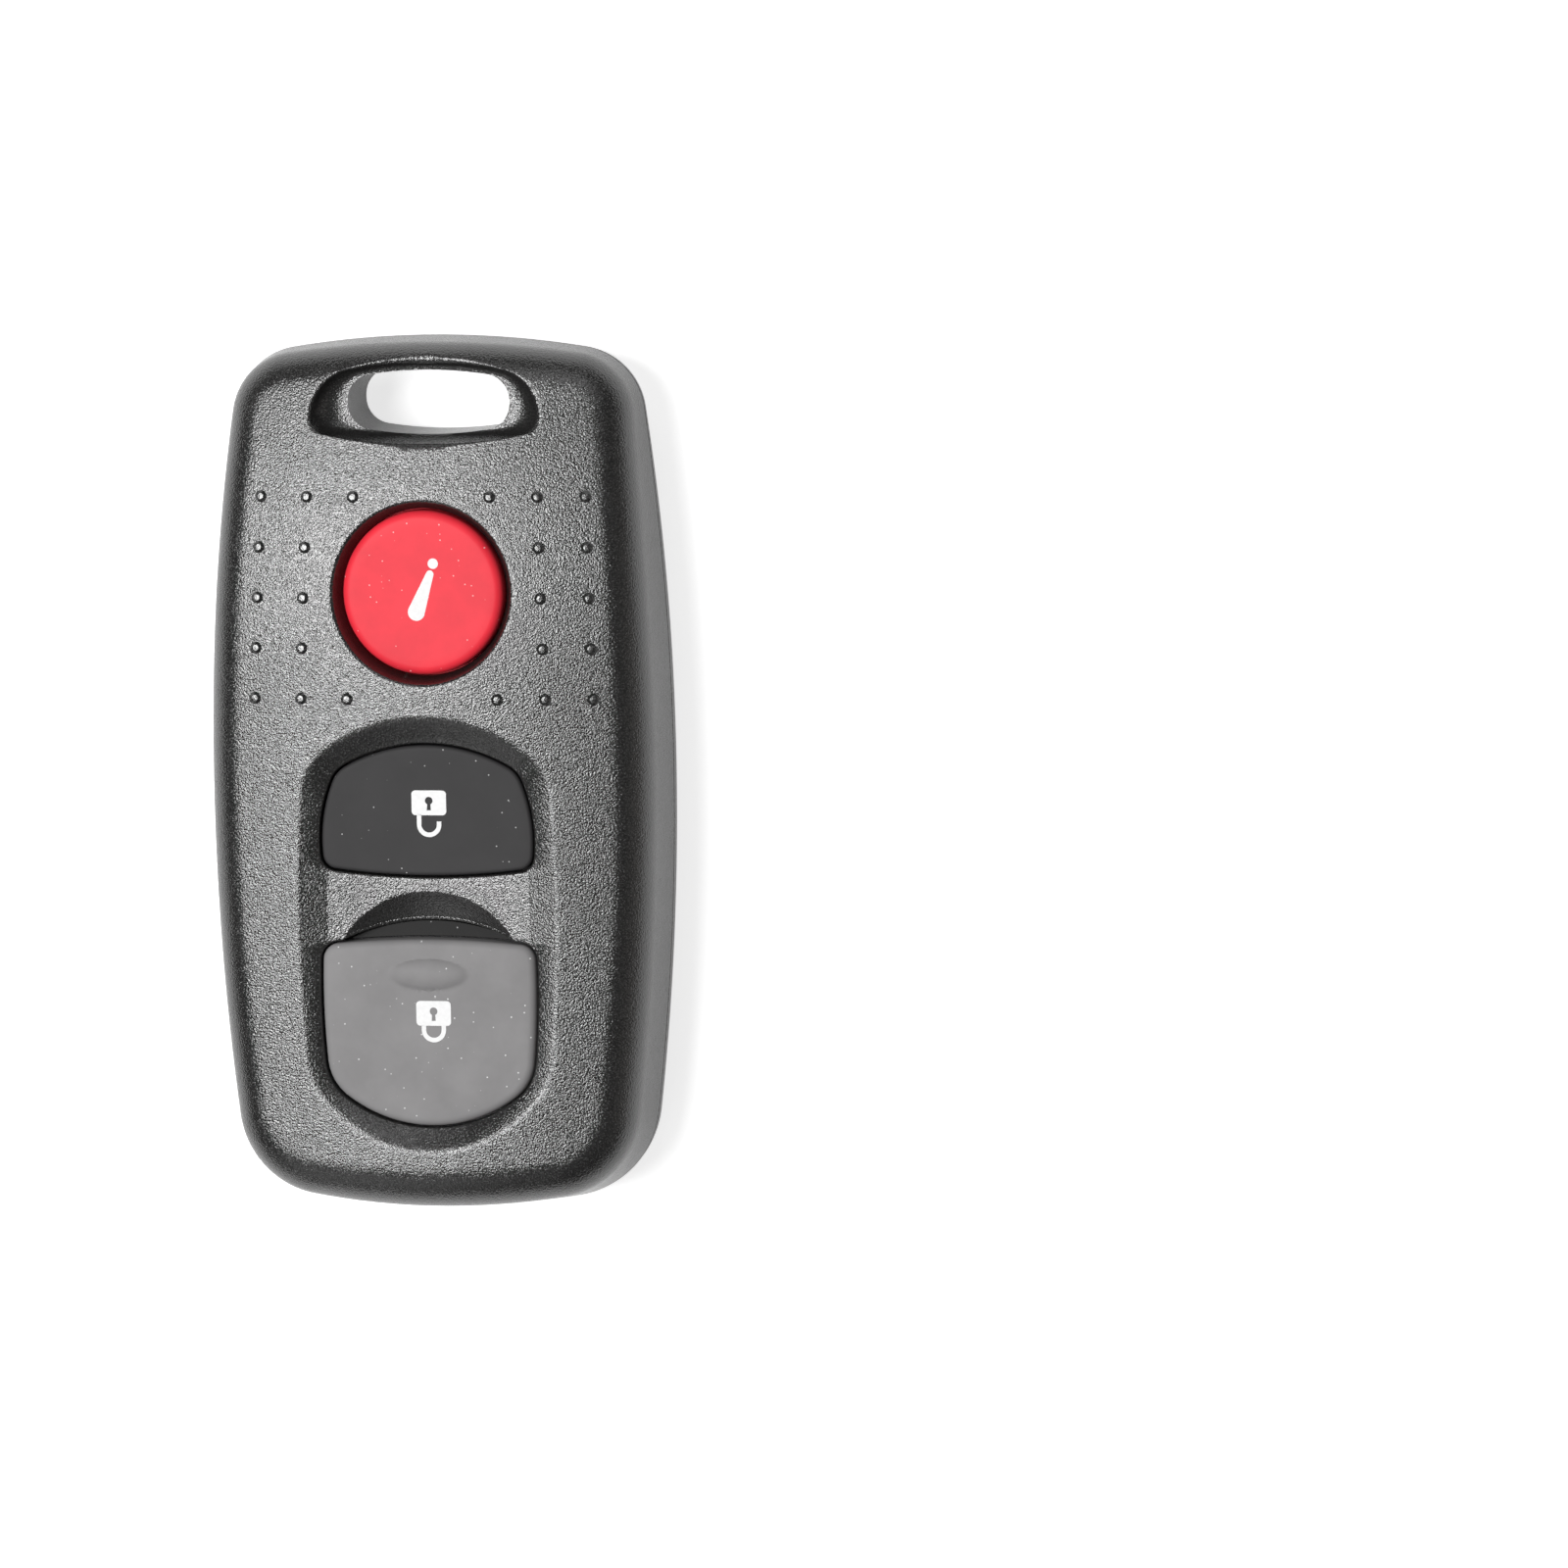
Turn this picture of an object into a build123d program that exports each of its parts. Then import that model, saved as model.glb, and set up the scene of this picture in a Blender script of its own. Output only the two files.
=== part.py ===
from build123d import *
import os
from dataclasses import dataclass
from math import radians, sqrt, tan

# A three-button car key fob. Millimetres. +X is right, +Y is towards the key ring, +Z is towards
# the keys, and the flat back of the case lies on Z = 0. Heights are measured from that back.

# Case outline, seen from the front
case_length = 67.0
case_width = 35.6
side_radius = 213.0
ring_end_radius = 72.7
lock_end_radius = 58.6
ring_corner = 5.4
lock_corner = 7.6

# Case section
back_depth = 5.3
front_depth = 8.1
wall = 1.5
crown_radius = 100.0
nose_share = 0.2448
tail_radius = 327.0
tail_share = 0.1254
front_draft = 6.6
back_draft = 4.9
front_rounding = 5.0
back_rounding = 4.4
overrun = 1.0

# Seam: a lip on the back half stands in a rebate of the front half, held by four snap beads
lip_height = 1.0
lip_inset = 0.8
seam_gap = 0.1
bead_radius = 0.3
bead_height = 0.55
side_bead_length = 8.0
end_bead_length = 6.0

# Key ring slot and the dishes around its two mouths
slot_width = 12.6
slot_length = 4.9
slot_margin = 2.4
slot_side_radius = 6.0
slot_arc = 30.0
slot_corner = 2.0
slot_front = 9.3
slot_back = 3.1
slot_wall = 2.2
dish_reach = 3.4
dish_side_slope = 1.6
dish_top_slope = 0.92
dish_bottom_slope = 0.25
back_dish_bottom_slope = 1.1
dish_side_radius = 14.0
dish_arc = 22.0
dish_chin_arc = 60.0
dish_top_corner = 4.0
dish_chin_corner = 2.0

# Recessed panel around the two door keys, at the height of the crown. Places with share in
# their names are shares of the case's half length, counted from its middle to the ring end.
panel_width = 21.8
panel_top_share = 0.1439
panel_bottom_share = -0.8448
panel_side_radius = 120.0
panel_widest_share = -0.2985
panel_top_radius = 16.0
panel_bottom_radius = 12.4
panel_top_corner = 5.0
panel_bottom_corner = 5.0
panel_depth = 1.0
panel_slope = 1.6

# Unlock key, with the outline of its opening
unlock_width = 16.8
unlock_top_share = 0.0851
unlock_bottom_share = -0.2209
unlock_side_radius = 12.0
unlock_widest_share = -0.1373
unlock_top_radius = 13.2
unlock_bottom_radius = 56.0
unlock_top_corner = 2.5
unlock_bottom_corner = 1.3
unlock_rounding = 0.25
unlock_switch_share = -0.0687

# Lock key, with the outline of its opening
lock_width = 17.0
lock_top_share = -0.3582
lock_bottom_share = -0.794
lock_side_radius = 60.0
lock_widest_share = -0.4776
lock_top_radius = 70.0
lock_bottom_radius = 11.0
lock_top_corner = 1.4
lock_bottom_corner = 4.0
lock_rise = 0.3
lock_rounding = 0.6
lock_switch_share = -0.5672
nub_drop = 2.7
nub_width = 5.74
nub_length = 2.0
nub_height = 0.25

# Thumb scoop above the lock key, and the sill of the rubber mat that shows at its foot
scoop_radius = 7.7
scoop_rise = 3.8
scoop_depth = 1.25
scoop_foot = 5.2
sill_rise = 1.3
sill_radius = 15.4
sill_drop = 2.4
sill_width = 12.6

# Panic key and its well
panic_share = 0.4284
well_radius = 6.95
well_throat = 6.4
well_depth = 1.2
panic_drop = 0.8
panic_margin = 1.2
panic_rounding = 0.35

# What the three keys share
key_gap = 0.15
key_wall = 1.2
key_travel = 0.3
flange_width = 0.8
flange_height = 0.8
flange_gap = 0.05
key_post_radius = 1.2
touch_gap = 0.02

# Raised pips either side of the panic key
pip_radius = 0.435
pip_rise = 0.22
pip_chamfer = 0.1
pip_pitch_y = 3.84
pip_lead = -0.38
pip_side_margin = 4.87
pip_pitch_x = 3.67
pip_flare = 0.035
pip_rows = 5

# Label pocket in the back
label_half_width = 8.3
label_bottom_share = -0.2896
label_top_share = 0.5821
label_depth = 0.4
label_corner = 1.0

# Deck under the front face that carries the keys, and the rubber mat under it
deck_height = 10.4
mat_side_gap = 2.5
mat_top_share = 0.6747
mat_ring_margin = 1.4
mat_lock_margin = 3.0
mat_height = 8.6
mat_floor = 0.6
mat_corner = 4.0
mat_hole_gap = 0.4
mat_foot_radius = 0.9
mat_foot_inset = 1.3
mat_foot_shares = (-0.7761, -0.3761)
ring_foot_margin = 2.6
chip_foot_gap = 4.9

# Circuit board, its posts and pins
board_height = 5.0
board_thickness = 1.0
board_margin = 0.4
end_post_gap = 3.1
post_margin = 5.3
lock_post_share = -0.7164
ring_post_margin = 3.6
post_share = -0.0597
back_post_radius = 1.5
front_post_radius = 1.1
post_gap = 0.05
pin_share = 0.2836
pin_radius = 0.7
pin_rise = 0.6
pin_gap = 0.05

# Printed antenna loop
loop_inset = 0.6
loop_width = 0.8
loop_thickness = 0.07
loop_break = 1.2

# Tact switches
switch_side = 4.6
switch_base_height = 1.3
switch_well_radius = 1.8
switch_floor = 0.3
cover_sheet = 0.2
cover_tab_width = 2.4
cover_tab_drop = 0.8
plunger_radius = 1.1
plunger_height = 8.3
plunger_flange_radius = 1.6
plunger_flange_height = 0.3
plunger_gap = 0.15
dome_radius = 1.75
dome_rise = 0.22
dome_sheet = 0.1
terminal_sheet = 0.15
terminal_width = 0.7
terminal_reach = 0.9
terminal_rise = 0.7
terminal_x = 1.5

# Radio chip and its leads
chip_share = 0.5045
chip_width = 8.6
chip_length = 3.9
chip_height = 1.5
chip_standoff = 0.1
chip_bevel = 0.25
lead_count = 7
lead_pitch = 1.27
lead_width = 0.4
lead_sheet = 0.2
lead_reach = 1.05
lead_shoulder = 0.8

# Crystal, resistors and capacitors
crystal_x_share = 0.5281
crystal_width = 3.2
crystal_length = 5.0
crystal_base_height = 0.5
crystal_can_height = 0.7
crystal_ledge = 0.2
crystal_sheet = 0.15
small_width = 1.6
small_length = 0.8
resistor_height = 0.45
capacitor_height = 0.8
resistor_x_share = -0.4831
resistor_pitch = 2.0
resistor_count = 4
capacitor_share = -0.3045
capacitor_x_shares = (-0.3933, -0.2247, 0.2247, 0.3933)

# Coin cell, 20 mm across and 2.5 mm thick, positive face down
cell_share = -0.4328
cell_radius = 10.0
cell_thickness = 2.5
cell_pad = 0.2
cell_sheet = 0.25
cell_rim_drop = 0.35
cap_radius = 8.9
cap_flange = 0.8
gasket_inner = 8.3
pellet_radius = 8.2
cathode_height = 0.8
separator_height = 0.1
pad_inner_radius = 6.0
pad_outer_radius = 8.0
cell_fence_gap = 0.1
cell_fence_wall = 0.8
cell_fence_height = 3.9
fence_break = 4.0

# Contacts under the board
contact_sheet = 0.15
minus_width = 3.0
minus_foot = 4.0
minus_slope = 4.5
minus_toe = 1.5
plus_width = 3.0
plus_foot = 2.3
plus_bottom = 2.4

# Places that follow from the size of the case
half_length = case_length / 2
half_width = case_width / 2
slot_top = half_length - slot_margin
slot_bottom = slot_top - slot_length
panel_top, panel_bottom = panel_top_share * half_length, panel_bottom_share * half_length
unlock_top, unlock_bottom = unlock_top_share * half_length, unlock_bottom_share * half_length
lock_top, lock_bottom = lock_top_share * half_length, lock_bottom_share * half_length
unlock_switch = unlock_switch_share * half_length
lock_switch = lock_switch_share * half_length
nose_start = nose_share * half_length
tail_start = tail_share * half_length
panic_reach = well_throat + panic_margin
panic_y = min(panic_share * half_length, slot_bottom - slot_wall - panic_reach)
scoop_apex = lock_top + scoop_rise
sill_apex = lock_top + sill_rise
nub_y = lock_top - nub_drop
mat_top = min(mat_top_share * half_length, slot_bottom - slot_wall - mat_ring_margin)
mat_bottom = lock_bottom - mat_lock_margin
mat_width = lock_width + 2 * mat_side_gap
board_top = mat_top
chip_y = unlock_switch + chip_share * (panic_y - unlock_switch)
cell_y = cell_share * half_length
pin_x = half_width - post_margin
pin_y = pin_share * half_length
post_places = [(pin_x, post_share * half_length)]
end_post_x = lock_width / 2 + end_post_gap
post_places += [(end_post_x, y) for y in (lock_post_share * half_length, mat_top - ring_post_margin)]
crystal_x = crystal_x_share * half_width
resistor_x = resistor_x_share * half_width
mat_foot_rows = [share * half_length for share in mat_foot_shares]
mat_foot_rows += [chip_y - chip_foot_gap, mat_top - ring_foot_margin]

# Heights that follow from the sizes above
seam = back_depth
crown_top = back_depth + front_depth
board_face = board_height + board_thickness
flange_top = deck_height - flange_gap
flange_bottom = flange_top - flange_height
mat_floor_top = mat_height + mat_floor
switch_top = board_face + switch_base_height
post_bottom = plunger_height + touch_gap
cell_bottom = wall + cell_pad
cell_top = cell_bottom + cell_thickness
front_slope = tan(radians(front_draft))
back_slope = tan(radians(back_draft))
panic_face = crown_top - panic_drop
sill_height = crown_top - sill_drop


@dataclass
class Outline:
    """A closed outline of four arcs with rounded corners, symmetrical about X = 0."""

    width: float
    top: float
    bottom: float
    side_radius: float
    widest: float
    top_radius: float
    bottom_radius: float
    top_corner: float
    bottom_corner: float

    def grown(self, by, corner_by=None):
        """The parallel outline, by further out. The corners can follow by another amount."""
        corner = by if corner_by is None else corner_by
        corners = [c + max(corner, -c / 2) for c in (self.top_corner, self.bottom_corner)]
        return Outline(
            self.width + 2 * by,
            self.top + by,
            self.bottom - by,
            self.side_radius + by,
            self.widest,
            self.top_radius + by,
            self.bottom_radius + by,
            *corners,
        )

    def meeting(self, end, centre, radius):
        """Where the right side meets the end arc about (0, centre), the nearer one to its crest."""
        inset = self.side_radius - self.width / 2
        a = self.side_radius**2 - radius**2 - inset**2 - self.widest**2 + centre**2
        a, b = a / (2 * inset), (self.widest - centre) / inset
        half = (a * b - centre) / (1 + b**2)
        root = sqrt(half**2 - (a**2 + centre**2 - radius**2) / (1 + b**2))
        found = [(a + b * y, y) for y in (root - half, -root - half) if a + b * y > 0]
        return min(found, key=lambda point: abs(point[1] - end))

    def face(self, height=0.0):
        x1, y1 = self.meeting(self.top, self.top - self.top_radius, self.top_radius)
        x2, y2 = self.meeting(
            self.bottom, self.bottom + self.bottom_radius, self.bottom_radius
        )
        middle = (y1 + y2) / 2
        bulge = sqrt(self.side_radius**2 - (middle - self.widest) ** 2)
        side = bulge - self.side_radius + self.width / 2
        edges = [
            ThreePointArc((-x1, y1), (0, self.top), (x1, y1)),
            ThreePointArc((x1, y1), (side, middle), (x2, y2)),
            ThreePointArc((x2, y2), (0, self.bottom), (-x2, y2)),
            ThreePointArc((-x2, y2), (-side, middle), (-x1, y1)),
        ]
        shape = make_face(edges)
        shape = fillet(shape.vertices().sort_by(Axis.Y)[-2:], self.top_corner)
        shape = fillet(shape.vertices().sort_by(Axis.Y)[:2], self.bottom_corner)
        face = shape.faces()[0]
        if face.normal_at().Z < 0:
            face = -face
        return Pos(0, 0, height) * face


case = Outline(
    case_width, half_length, -half_length, side_radius, 0,
    ring_end_radius, lock_end_radius, ring_corner, lock_corner,
)
slot = Outline(
    slot_width, slot_top, slot_bottom, slot_side_radius, (slot_top + slot_bottom) / 2,
    slot_arc, slot_arc, slot_corner, slot_corner,
)
panel = Outline(
    panel_width, panel_top, panel_bottom, panel_side_radius, panel_widest_share * half_length,
    panel_top_radius, panel_bottom_radius, panel_top_corner, panel_bottom_corner,
)
unlock = Outline(
    unlock_width, unlock_top, unlock_bottom, unlock_side_radius,
    unlock_widest_share * half_length,
    unlock_top_radius, unlock_bottom_radius, unlock_top_corner, unlock_bottom_corner,
)
lock = Outline(
    lock_width, lock_top, lock_bottom, lock_side_radius, lock_widest_share * half_length,
    lock_top_radius, lock_bottom_radius, lock_top_corner, lock_bottom_corner,
)
mat = Outline(
    mat_width, mat_top, mat_bottom, case.side_radius, (mat_top + mat_bottom) / 2,
    ring_end_radius, lock_end_radius, mat_corner, mat_corner,
)


def prism(outline, low, high):
    """The outline as an upright block between two heights."""
    return extrude(outline.face(low), amount=high - low)


def between(lower, low, upper, high):
    """A block that changes from one outline to another between two heights."""
    return loft([lower.face(low), upper.face(high)], ruled=True)


def disc(radius, low, high, x=0.0, y=0.0):
    return Pos(x, y, low) * extrude(Circle(radius), amount=high - low)


def slab(left, right, near, far, low, high):
    middle = ((left + right) / 2, (near + far) / 2, (low + high) / 2)
    return Pos(*middle) * Box(right - left, far - near, high - low)


def under_crown(drop):
    """All that lies under the front face: level across the keys, and a ball over the nose."""
    radius = crown_radius - drop
    axis_height = crown_top - crown_radius
    edge = Polyline(
        (0, nose_start + radius), (0, -case_length), (radius, -case_length), (radius, nose_start)
    )
    half = make_face(edge + CenterArc((0, nose_start), radius, 0, 90))
    axis = Axis((0, 0, axis_height), (0, -1, 0))
    return revolve(Pos(0, 0, axis_height) * half, axis=axis, revolution_arc=180)


def over_tail(inset):
    """All that lies over the back face: flat, then rising along one long arc to the ring end."""
    radius = tail_radius - inset
    arc = CenterArc((tail_start, tail_radius), radius, -90, 20)
    side = Polyline(
        arc @ 1, ((arc @ 1).X, crown_top), (-case_length, crown_top), (-case_length, inset), arc @ 0
    )
    face = Plane.YZ * make_face(arc + side)
    return extrude(face, amount=case_width, both=True)


def round_edges(body, plane_height, upper, radius):
    """Rounds the sharp rim where the drafted sides meet the front or back face."""
    rim = [
        edge
        for edge in body.edges()
        if (edge.center().Z > plane_height) == upper
        and abs(edge.center().Z - plane_height) > overrun
        and abs(edge.tangent_at(0.5).Z) < 0.5
        and not (abs(edge.center().X) < overrun and abs(edge.tangent_at(0.5).X) > 0.9
                 and abs(edge.center().Y) < case_length / 3)
    ]
    return fillet(rim, radius)


def front_form(inset):
    """The closed form of the front half, inset from its outside by a wall."""
    base = case.grown(-inset)
    rise = front_depth + overrun
    top = base.grown(-front_slope * rise, 0)
    body = between(base, seam, top, seam + rise) & under_crown(inset)
    return round_edges(body, seam, True, front_rounding - inset)


def back_form(inset):
    """The closed form of the back half, inset from its outside by a wall."""
    base = case.grown(-inset)
    drop = back_depth + overrun
    low = base.grown(-back_slope * drop, 0)
    body = between(low, seam - drop, base, seam) & over_tail(inset)
    return round_edges(body, seam, False, back_rounding - inset)


def dish(rim, far, bottom_slope):
    """The flared mouth of the key ring slot, from its rim out past the face."""
    reach = dish_reach
    mouth = Outline(
        slot_width + 2 * dish_side_slope * reach, slot_top + dish_top_slope * reach,
        slot_bottom - bottom_slope * reach, dish_side_radius, (slot_top + slot_bottom) / 2,
        dish_arc, dish_chin_arc, dish_top_corner, dish_chin_corner,
    )
    if far > rim:
        return between(slot, rim, mouth, far)
    return between(mouth, far, slot, rim)


def surface_height(x, y):
    """Height of the front face."""
    fall = max(0.0, y - nose_start)
    return crown_top - crown_radius + sqrt(crown_radius**2 - x**2 - fall**2)


def panel_cut():
    """The panel's recess: sloping walls down to a floor that follows the crown."""
    reach = panel_depth + (panel_width / 2) ** 2 / (2 * crown_radius)
    low = crown_top - reach
    foot = panel.grown(-panel_slope * reach)
    head = panel.grown(panel_slope * overrun)
    return between(foot, low, head, crown_top + overrun) - under_crown(panel_depth)


def sill_face(gap):
    """Plan of the sill: a low arch above the lock key, short of it by a gap."""
    arch = Pos(0, sill_apex - sill_radius) * Circle(sill_radius - gap)
    arch &= Pos(0, lock_top + overrun / 2) * Rectangle(2 * sill_radius, 3 * overrun)
    return arch - lock.face()


def scoop_cut():
    """The thumb scoop: a cone that opens upwards, and the arched gap at its foot."""
    floor = crown_top - panel_depth
    foot = floor - scoop_depth
    lean = (scoop_radius - scoop_foot) / scoop_depth
    high = floor + overrun
    centre = scoop_apex - scoop_radius
    height = high - foot
    cone = Cone(scoop_foot, scoop_foot + lean * height, height)
    cone = Pos(0, centre, (foot + high) / 2) * cone
    # the cone is cut off where the lock key's own opening starts
    keep = slab(-case_width, case_width, lock_top - overrun, case_length, foot, high)
    gap = extrude(Pos(0, 0, deck_height - overrun) * sill_face(0), amount=high - deck_height)
    return [cone & keep, gap]


def pips():
    """Five rows of pips each side, with a third one in the first and last rows."""
    made = []
    outer = half_width - pip_side_margin
    for row in range(pip_rows):
        from_middle = ((pip_rows - 1) / 2 - row) * pip_pitch_y
        y = panic_y + pip_lead + from_middle
        columns = 3 if row in (0, pip_rows - 1) else 2
        for column in range(columns):
            x = outer - column * pip_pitch_x - pip_flare * from_middle
            height = surface_height(x, y) + pip_rise
            pip = disc(pip_radius, height - pip_rise - wall / 2, height)
            pip = chamfer(pip.edges().sort_by(Axis.Z)[-1], pip_chamfer)
            made += [Pos(x, y) * pip, Pos(-x, y) * pip]
    return made


def beads(grow):
    """Snap beads at the middle of each side of the lip, or their grooves when grown."""
    height = seam + bead_height
    radius = bead_radius + grow
    side = Rot(90, 0, 0) * Cylinder(radius, side_bead_length + 2 * grow)
    end = Rot(0, 90, 0) * Cylinder(radius, end_bead_length + 2 * grow)
    x, y = half_width - lip_inset, half_length - lip_inset
    return [
        Pos(x, 0, height) * side, Pos(-x, 0, height) * side,
        Pos(0, y, height) * end, Pos(0, -y, height) * end,
    ]


def front_case():
    ring = prism(slot.grown(slot_wall), seam, crown_top)
    deck = prism(mat.grown(key_wall), deck_height, crown_top)
    hollow = front_form(wall) - ring - deck
    well_lean = (well_radius - well_throat) / well_depth
    well = Cone(well_throat, well_radius + well_lean * overrun, well_depth + overrun)
    well = Pos(0, panic_y, crown_top - well_depth + (well_depth + overrun) / 2) * well
    rebate = prism(case.grown(seam_gap - lip_inset), seam, seam + lip_height + seam_gap)
    rebate -= prism(case.grown(-wall), seam, seam + lip_height + seam_gap)
    body = front_form(0) - [
        hollow,
        rebate,
        prism(slot, seam, crown_top),
        dish(slot_front, slot_front + dish_reach, dish_bottom_slope),
        panel_cut(),
        prism(unlock, deck_height - overrun, crown_top),
        prism(lock, deck_height - overrun, crown_top),
        *scoop_cut(),
        well,
        disc(well_throat, deck_height - overrun, crown_top, y=panic_y),
        *beads(post_gap),
    ]
    posts = [
        disc(front_post_radius, board_face + post_gap, deck_height, side * x, y)
        for side in (-1, 1)
        for x, y in post_places
    ]
    return body + pips() + posts


def back_case():
    ring = prism(slot.grown(slot_wall), 0, seam)
    hollow = back_form(wall) - ring
    lip = prism(case.grown(-lip_inset), seam, seam + lip_height)
    lip -= prism(case.grown(-wall), seam - overrun, seam + lip_height + overrun)
    near, far = label_bottom_share * half_length, label_top_share * half_length
    pocket = slab(-label_half_width, label_half_width, near, far, -overrun, seam)
    pocket = fillet(pocket.edges().filter_by(Axis.Z), label_corner)
    pocket -= over_tail(label_depth)
    body = back_form(0) - [
        hollow,
        prism(slot, 0, seam),
        dish(slot_back, slot_back - dish_reach, back_dish_bottom_slope),
        pocket,
    ]
    fence_radius = cell_radius + cell_fence_gap
    fence = disc(fence_radius + cell_fence_wall, wall - cell_pad, cell_fence_height, y=cell_y)
    fence -= disc(fence_radius, 0, seam, y=cell_y)
    fence -= slab(0, case_width, cell_y - fence_break / 2, cell_y + fence_break / 2, wall, seam)
    pad = disc(pad_outer_radius, wall - cell_pad, cell_bottom, y=cell_y)
    pad -= disc(pad_inner_radius, 0, seam, y=cell_y)
    posts = [
        disc(back_post_radius, wall - cell_pad, board_height, side * x, y)
        for side in (-1, 1)
        for x, y in (*post_places, (pin_x, pin_y))
    ]
    pins = [
        disc(pin_radius, wall, board_face + pin_rise, side * pin_x, pin_y) for side in (-1, 1)
    ]
    return body + [lip, fence, pad, *posts, *pins, *beads(0)]


def flange(outline, limit):
    """The rim that keeps a key from falling out, up to a limit along Y."""
    rim = prism(outline.grown(flange_width), flange_bottom, flange_top)
    return rim & slab(-case_width, case_width, -case_length, limit, flange_bottom, flange_top)


def key_post(y, top):
    return disc(key_post_radius, post_bottom, top, y=y)


def door_key(opening, drop, rounding, switch_y, flange_limit):
    """A hollow key cap that fills its opening, with a flange and a post over its switch."""
    outline = opening.grown(-key_gap)
    body = prism(outline, flange_bottom, crown_top) & under_crown(drop)
    rim = [edge for edge in body.edges() if edge.center().Z > deck_height + key_wall]
    rim = [edge for edge in rim if abs(edge.tangent_at(0.5).Z) < 0.5]
    body = fillet(rim, rounding)
    hollow = prism(outline.grown(-key_wall), flange_bottom, crown_top)
    hollow &= under_crown(drop + key_wall)
    ceiling = crown_top - drop - key_wall
    return body + flange(outline, flange_limit) - hollow + key_post(switch_y, ceiling)


def unlock_key():
    return door_key(unlock, panel_depth, unlock_rounding, unlock_switch, case_length)


def lock_key():
    drop = panel_depth - lock_rise
    body = door_key(lock, drop, lock_rounding, lock_switch, lock_top - key_gap - flange_width)
    nub = scale(Sphere(1), by=(nub_width / 2, nub_length / 2, nub_height))
    return body + Pos(0, nub_y, crown_top - drop) * nub


def panic_key():
    radius = well_throat - key_gap
    body = disc(radius, flange_bottom, panic_face)
    body = fillet(body.edges().sort_by(Axis.Z)[-1], panic_rounding)
    body += disc(radius + flange_width, flange_bottom, flange_top)
    body -= disc(radius - key_wall, flange_bottom, panic_face - key_wall)
    return Pos(0, panic_y) * (body + key_post(0, panic_face - key_wall))


def key_mat():
    """The rubber mat: a pocket and a post hole for each key, feet, and the sill of the scoop."""
    body = prism(mat, mat_height, deck_height)
    room = flange_width + flange_gap + key_gap
    lock_pocket = prism(lock.grown(room), mat_floor_top, deck_height)
    edge = lock_top + key_gap
    body -= [
        prism(unlock.grown(room), mat_floor_top, deck_height),
        lock_pocket & slab(-mat_width, mat_width, mat_bottom, edge, mat_floor_top, deck_height),
        disc(well_throat + room, mat_floor_top, deck_height, y=panic_y),
    ]
    body -= [
        disc(key_post_radius + mat_hole_gap, mat_height, deck_height, y=y)
        for y in (unlock_switch, lock_switch, panic_y)
    ]
    sill = extrude(Pos(0, 0, mat_height) * sill_face(key_gap), amount=sill_height - mat_height)
    half = sill_width / 2
    sill &= slab(-half, half, lock_top - sill_radius, case_length, mat_height, sill_height)
    foot_x = mat_width / 2 - mat_foot_inset
    feet = [
        disc(mat_foot_radius, board_face, mat_height, side * foot_x, y)
        for side in (-1, 1)
        for y in mat_foot_rows
    ]
    return body + [sill, *feet]


def board_face_plan(inset):
    """Plan of the board, or of a line that runs round it at an inset."""
    plan = case.grown(-(wall + board_margin + inset)).face()
    limit = board_top - inset
    return plan & Pos(0, limit - half_length) * Rectangle(case_width, case_length)


def circuit_board():
    board = extrude(Pos(0, 0, board_height) * board_face_plan(0), amount=board_thickness)
    return board - [
        disc(pin_radius + pin_gap, board_height, board_face, side * pin_x, pin_y)
        for side in (-1, 1)
    ]


def antenna_loop():
    """The copper line printed round the board, open at the ring end."""
    plan = board_face_plan(loop_inset) - board_face_plan(loop_inset + loop_width)
    plan -= Pos(0, board_top) * Rectangle(loop_break, case_length / 4)
    return extrude(Pos(0, 0, board_face) * plan, amount=loop_thickness)


def switch_base(y):
    base = Pos(0, y, board_face + switch_base_height / 2) * Box(
        switch_side, switch_side, switch_base_height
    )
    return base - disc(switch_well_radius, board_face + switch_floor, switch_top, y=y)


def switch_cover(y):
    """The pressed steel plate over the switch, with a tab down each side."""
    half = switch_side / 2
    edge = half + cover_sheet
    plate = slab(-edge, edge, y - half, y + half, switch_top, switch_top + cover_sheet)
    tab = cover_tab_width / 2
    tabs = [
        slab(low, low + cover_sheet, y - tab, y + tab, switch_top - cover_tab_drop, switch_top)
        for low in (-edge, half)
    ]
    hole = disc(plunger_radius + plunger_gap, switch_top, switch_top + cover_sheet, y=y)
    return plate + tabs - hole


def switch_plunger(y):
    low = switch_top - touch_gap - plunger_flange_height
    rim = disc(plunger_flange_radius, low, low + plunger_flange_height, y=y)
    return rim + disc(plunger_radius, low, plunger_height, y=y)


def switch_dome(y):
    """The snap dome: a shallow cap of spring steel standing on the floor of the switch."""
    low = board_face + switch_floor
    span = dome_radius
    radius = (span**2 + dome_rise**2) / (2 * dome_rise)
    cap = Pos(0, 0, dome_rise - radius) * Sphere(radius + dome_sheet)
    cap -= Pos(0, 0, dome_rise - radius) * Sphere(radius)
    cap &= disc(span, 0, dome_rise + dome_sheet)
    return Pos(0, y, low) * cap


def switch_terminals(y):
    """Four folded tin legs that stand on the board."""
    half = switch_side / 2
    rise = board_face + terminal_rise
    side = Polyline(
        (half, board_face), (half + terminal_reach, board_face),
        (half + terminal_reach, board_face + terminal_sheet),
        (half + terminal_sheet, board_face + terminal_sheet),
        (half + terminal_sheet, rise), (half, rise), close=True,
    )
    leg = Plane.YZ * make_face(side)
    leg = extrude(leg, amount=terminal_width / 2, both=True)
    legs = [Pos(side * terminal_x, y) * leg for side in (-1, 1)]
    return Compound(children=legs + [Pos(0, y) * Rot(0, 0, 180) * Pos(0, -y) * leg for leg in legs])


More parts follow.
